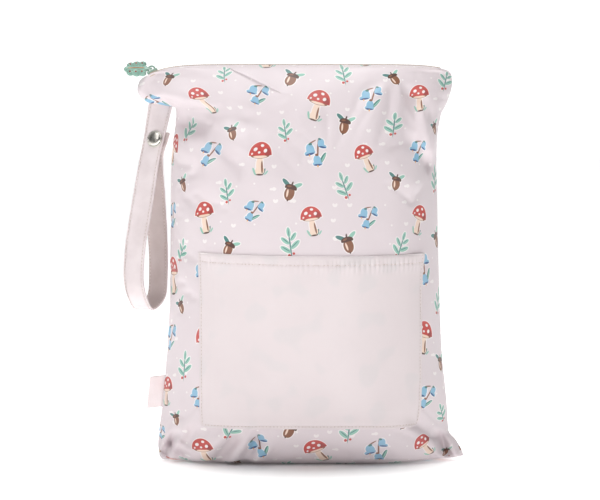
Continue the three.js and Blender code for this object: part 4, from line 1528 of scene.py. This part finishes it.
def makeLeaves():
    look = pullLook
    bm = bmesh.new()
    addBall(bm, (look["stemStart"] - look["length"] / 2, 0, 0), (look["length"] / 2, *look["stem"]))
    for along, size in look["ends"]:
        addBall(bm, (look["stemStart"] + along, 0, 0), size)
    for x, side, size in lobeSpots():
        addBall(bm, (x, side * look["lobeOut"] * size, 0), [part * size for part in look["lobe"]],
                side * look["lobeTurn"])
    shape = linkObject("pullRaw", toMesh("pullRaw", bm))
    melt = shape.modifiers.new("melt", "REMESH")
    melt.mode = "VOXEL"
    melt.voxel_size = look["voxel"]
    ease = shape.modifiers.new("ease", "SMOOTH")
    ease.iterations = look["smoothing"]
    bm = bmesh.new()
    bm.from_mesh(shape.evaluated_get(bpy.context.evaluated_depsgraph_get()).to_mesh())
    bpy.data.objects.remove(shape)
    pull = pullPiece("pullLeaves", bm, finish["mintRubber"])
    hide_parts("zip_pull")


def makeDots():
    look = pullLook
    bm = bmesh.new()
    for x, side, size in lobeSpots():
        for face in (-1, 1):
            up = face * look["lobe"][2] * size * look["dotSeat"]
            addBall(bm, (x, side * look["lobeOut"] * size, up), look["dot"], 0.0, look["dotCells"])
    pullPiece("pullDots", bm, finish["dotRubber"])


def makeVein():
    look = pullLook
    bm = bmesh.new()
    turn = Matrix.Rotation(math.radians(look["roll"]), 3, "X")
    start, length = look["veinSpan"]
    for face in (-1, 1):
        path = []
        for i in range(look["veinSteps"] + 1):
            share = i / look["veinSteps"]
            bow = math.sqrt(max(0.0, 1 - (2 * share - 1) ** 2 * look["veinBow"]))
            x = look["stemStart"] - look["length"] * (start + length * share)
            path.append(turn @ Vector((x, 0, face * (look["veinRise"] * bow - look["veinSink"]))))
        addWire(bm, path, look["vein"], sides=8)
    bmesh.ops.recalc_face_normals(bm, faces=bm.faces)
    pullPiece("pullVein", bm, finish["veinRubber"])


def makeRing():
    look = pullLook
    bm = bmesh.new()
    corner, arm = look["corner"], look["armLength"]
    ring = []
    for cx, cy, start in ((-arm, -1, 180), (0, -1, 270), (0, 1, 0), (-arm, 1, 90)):
        centreX = cx + (corner if cx < 0 else -corner)
        centreY = cy * (look["armY"] - corner)
        for i in range(look["cornerSteps"] + 1):
            angle = math.radians(start + 90 * i / look["cornerSteps"])
            ring.append((centreX + corner * math.cos(angle), centreY + corner * math.sin(angle), 0))
    addWire(bm, ring, look["wire"], closed=True)
    bmesh.ops.recalc_face_normals(bm, faces=bm.faces)
    ringPiece = pullPiece("pullRing", bm, finish["sliderLacquer"])


makeLeaves()
makeDots()
makeVein()
makeRing()
print("slider and pull made")


# Wrist strap: sewn into the left seam, looped, its free end snapped behind the front band

strapLook = {
    "width": 18.0, "thickness": 1.6, "wall": 0.92, "endGap": 0.5, "perSpan": 10, "columns": 12,
    "sway": (0.25, 17), "edgeSway": (0.12, 4.1),
    "root": (-105.6, 0.4, 271.0, 0),
    "route": (  # x, y, z, turn of the strip about the upright
        (-106.6, 0, 265.6, 2), (-108.5, -1.8, 256, 14), (-111.3, -3.6, 241, 26),
        (-114.5, -5.4, 226, 29), (-119.4, -10, 195, 25), (-124.5, -13.5, 162, 26),
        (-126, -13.5, 137, 28), (-123, -10.6, 121.5, 31), (-118.4, -1, 114, 34),
        (-111.2, 9.4, 121.5, 34), (-109.4, 12, 136, 34), (-109.6, 12.5, 162, 32),
        (-111, 7.5, 195, 30),
    ),
    "tail": ((-15, 1.6, 28), (0, 2, 26), (7, 2.4, 24)),  # rise, shift, turn at the press stud
    "snapStation": 2,
    "seam": 1.8,
    "threadSeat": 0.02,
    "endSeam": (-8, 0.36, 20),  # station, reach to each side, points
}


def stripStations(rows, perSpan):
    # smooth curve through the rows, with the strip's own axes at each step
    rows = np.array(rows, dtype=float)
    ends = np.concatenate([[2 * rows[0] - rows[1]], rows, [2 * rows[-1] - rows[-2]]])
    made = []
    for i in range(len(rows) - 1):
        a, b, c, d = ends[i:i + 4]
        last = i == len(rows) - 2
        for t in np.linspace(0, 1, perSpan + 1)[:None if last else -1]:
            made.append(0.5 * (2 * b + (c - a) * t + (2 * a - 5 * b + 4 * c - d) * t * t
                               + (3 * b - a - 3 * c + d) * t ** 3))
    made = np.array(made)
    points = made[:, :3]
    tangents = np.gradient(points, axis=0)
    tangents /= np.linalg.norm(tangents, axis=1, keepdims=True)
    turn = np.radians(made[:, 3])
    across = np.stack([np.cos(turn), -np.sin(turn), np.zeros(len(turn))], axis=1)
    across -= tangents * np.sum(across * tangents, axis=1, keepdims=True)
    across /= np.linalg.norm(across, axis=1, keepdims=True)
    return points, tangents, across, np.cross(tangents, across)


def snapAxes():
    points, tangents, across, faces = stripStations(strapLook["route"], strapLook["perSpan"])
    i = strapLook["snapStation"] * strapLook["perSpan"]
    return points[i], tangents[i], across[i], faces[i]


def makeStrap():
    look = strapLook
    point, tangent, across, face = snapAxes()
    behind = point - face * (look["thickness"] + look["endGap"])
    tail = [(*(behind - tangent * rise + across * shift), turn)
            for rise, shift, turn in look["tail"]]
    rows = [look["root"], *look["route"], *tail]
    points, tangents, across, faces = stripStations(rows, look["perSpan"])
    run = walkedAlong(points)
    aside = np.linspace(-0.5, 0.5, look["columns"] + 1)
    (sway, length), (edgeSway, edgeLength) = look["sway"], look["edgeSway"]
    wander = sway * np.sin(run / length)[:, None] * aside[None]
    wander = wander + edgeSway * np.sin(run / edgeLength)[:, None] * (2 * aside[None]) ** 4
    grid = (points[:, None] + across[:, None] * (aside * look["width"])[None, :, None]
            + faces[:, None] * wander[..., None])
    flat = flatGrid(aside * look["width"], run)
    strap = clothPiece("wristStrap", grid * mm, flat, finish["strapInsidePaintedShade"])
    strap.data.materials.append(finish["strapCloth"])
    thicken(strap, look["thickness"] * look["wall"] * mm, 0, 1)
    wall = strap.modifiers["wall"]
    wall.material_offset = 1  # the grid faces into the loop and takes a darker copy of the strap cloth, painted shade; the strap cloth covers the rest
    wall.material_offset_rim = 1
    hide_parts("strap")
    lift = look["thickness"] * look["wall"] / 2 + look["threadSeat"]
    lines = []
    for side in (-1, 1):
        edge = points + across * side * (look["width"] / 2 - look["seam"])
        for layer in (-1, 1):
            lines.append(((edge + faces * layer * lift) * mm, faces * layer))
    station, reach, count = look["endSeam"]
    spread = np.linspace(-reach, reach, count)[:, None] * look["width"] * across[station][None]
    for layer in (-1, 1):
        line = points[station][None] + spread + faces[station][None] * layer * lift
        lines.append((line * mm, np.repeat(faces[station][None] * layer, count, 0)))
    stitches = sewLines("strapStitches", lines)
    print("strap made, length %.0f mm" % run[-1])


makeStrap()


# Press stud: domed cap in a rolled rim, its socket and disc behind

snapLook = {
    "cap": ((0, 0.1), (5.2, 0.1), (6.1, 0.2), (6.4, 0.6), (6.25, 1.05), (5.8, 1.25), (5.45, 1.15),
            (5.25, 1.05), (5.0, 1.2), (4.6, 1.6), (3.6, 1.95), (2.0, 2.15), (0, 2.2)),
    "stud": ((0, -1.2), (4.9, -1.2), (5.3, -1.0), (5.4, -0.6), (5.2, -0.15), (4.8, 0), (2.4, 0),
             (1.6, 0.15), (1.6, 4.3), (0, 4.3)),
    "aside": 1.6,  # off the strap's middle, to the right
    "capSeat": 0.05,
    "studSeat": 0.3,
    "turns": 40,
}


def turnedPiece(name, profile, matrix, node):
    bm = bmesh.new()
    verts = [bm.verts.new((out * mm, 0, up * mm)) for out, up in profile]
    edges = [bm.edges.new(pair) for pair in zip(verts, verts[1:])]
    bmesh.ops.spin(bm, geom=verts + edges, cent=(0, 0, 0), axis=(0, 0, 1), angle=2 * math.pi,
                   steps=snapLook["turns"], use_merge=True)
    bmesh.ops.remove_doubles(bm, verts=bm.verts, dist=1e-6)
    bmesh.ops.recalc_face_normals(bm, faces=bm.faces)
    bmesh.ops.transform(bm, matrix=matrix, verts=bm.verts)
    piece = finishMesh(name, bm, finish["nickel"])
    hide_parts(node)


def makeSnap():
    point, tangent, across, face = snapAxes()
    point = point + across * snapLook["aside"]
    seat = strapLook["thickness"] / 2 + snapLook["capSeat"]
    cap = axesMatrix((point + face * seat) * mm, tangent, face)
    turnedPiece("snapCap", snapLook["cap"], cap, "snap_cap")
    back = -(strapLook["thickness"] * 1.5 + strapLook["endGap"] + snapLook["studSeat"])
    stud = axesMatrix((point + face * back) * mm, tangent, face)
    turnedPiece("snapStud", snapLook["stud"], stud, "snap_stud")


makeSnap()


# Side tag: a ribbon folded double, bare, its ends sewn into the left seam

tagLook = {
    "lowZ": 40.0, "highZ": 64.0, "reach": 11.0, "gap": 0.45, "ribbon": 0.32, "rows": 24, "tuck": 2.5,
    "span": (0.2, 0.94), "steps": 8, "narrow": 0.2, "bend": 0.66,
    "inset": 0.4, "sway": (0.5, 7.0), "droop": 0.12,
    "seamFrom": 20,
}


def makeTag():
    look = tagLook
    seam = frontPoints[:, 0] / mm
    rising = seam[:, 2] > look["seamFrom"]
    heights = np.linspace(look["lowZ"], look["highZ"], look["rows"] + 1)
    steps = look["steps"]
    leaf = [(-look["tuck"], look["gap"])]
    leaf += [(look["reach"] * t, look["gap"] * (1 - look["narrow"] * t))
             for t in np.linspace(*look["span"], steps)]
    profile = [(out, -side) for out, side in leaf]
    for i in range(1, steps):
        angle = math.pi * i / steps - math.pi / 2
        profile.append((look["reach"] * look["span"][1] + look["bend"] * math.cos(angle),
                        look["gap"] * math.sin(angle)))
    profile += leaf[::-1]
    points = np.zeros((len(heights), len(profile), 3))
    walked = walkedAlong(np.array(profile))
    for r, z in enumerate(heights):
        x = np.interp(z, seam[rising, 2], seam[rising, 0]) - look["inset"]
        sway = look["sway"][0] * math.sin((z - look["lowZ"]) / look["sway"][1])
        for c, (out, side) in enumerate(profile):
            past = max(0, out)
            points[r, c] = (x - out, side + sway * past / look["reach"], z - look["droop"] * past)
    tag = clothPiece("sideTag", points * mm, flatGrid(walked, heights), finish["ribbonCloth"])
    thicken(tag, look["ribbon"] * mm, 0)
    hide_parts("label")


makeTag()
print("strap, press stud and tag made")


# Floor

def makeFloor():
    material, tree, shader = newMaterial("paleFloor")
    tone = uneven(tree, 3.0, 2.0, 0.3, 0.7)
    away = calcVector(tree, "LENGTH", objectPlace(tree))
    dress(tree, shader, {
        "Base Color": mixColour(tree, tone, (0.99, 0.99, 0.99, 1), (0.98, 0.98, 0.98, 1)),
        "Roughness": 0.8,
        "Specular IOR Level": 0.1,
        "Emission Color": (1, 1, 1, 1),
        "Emission Strength": ramp(tree, away, *studio["floorGlow"]),  # white where the floor ends
    })
    bm = bmesh.new()
    bmesh.ops.create_grid(bm, x_segments=1, y_segments=1, size=studio["floorHalf"])
    floor = linkObject("floor", toMesh("floor", bm))
    floor.data.materials.append(material)


makeFloor()
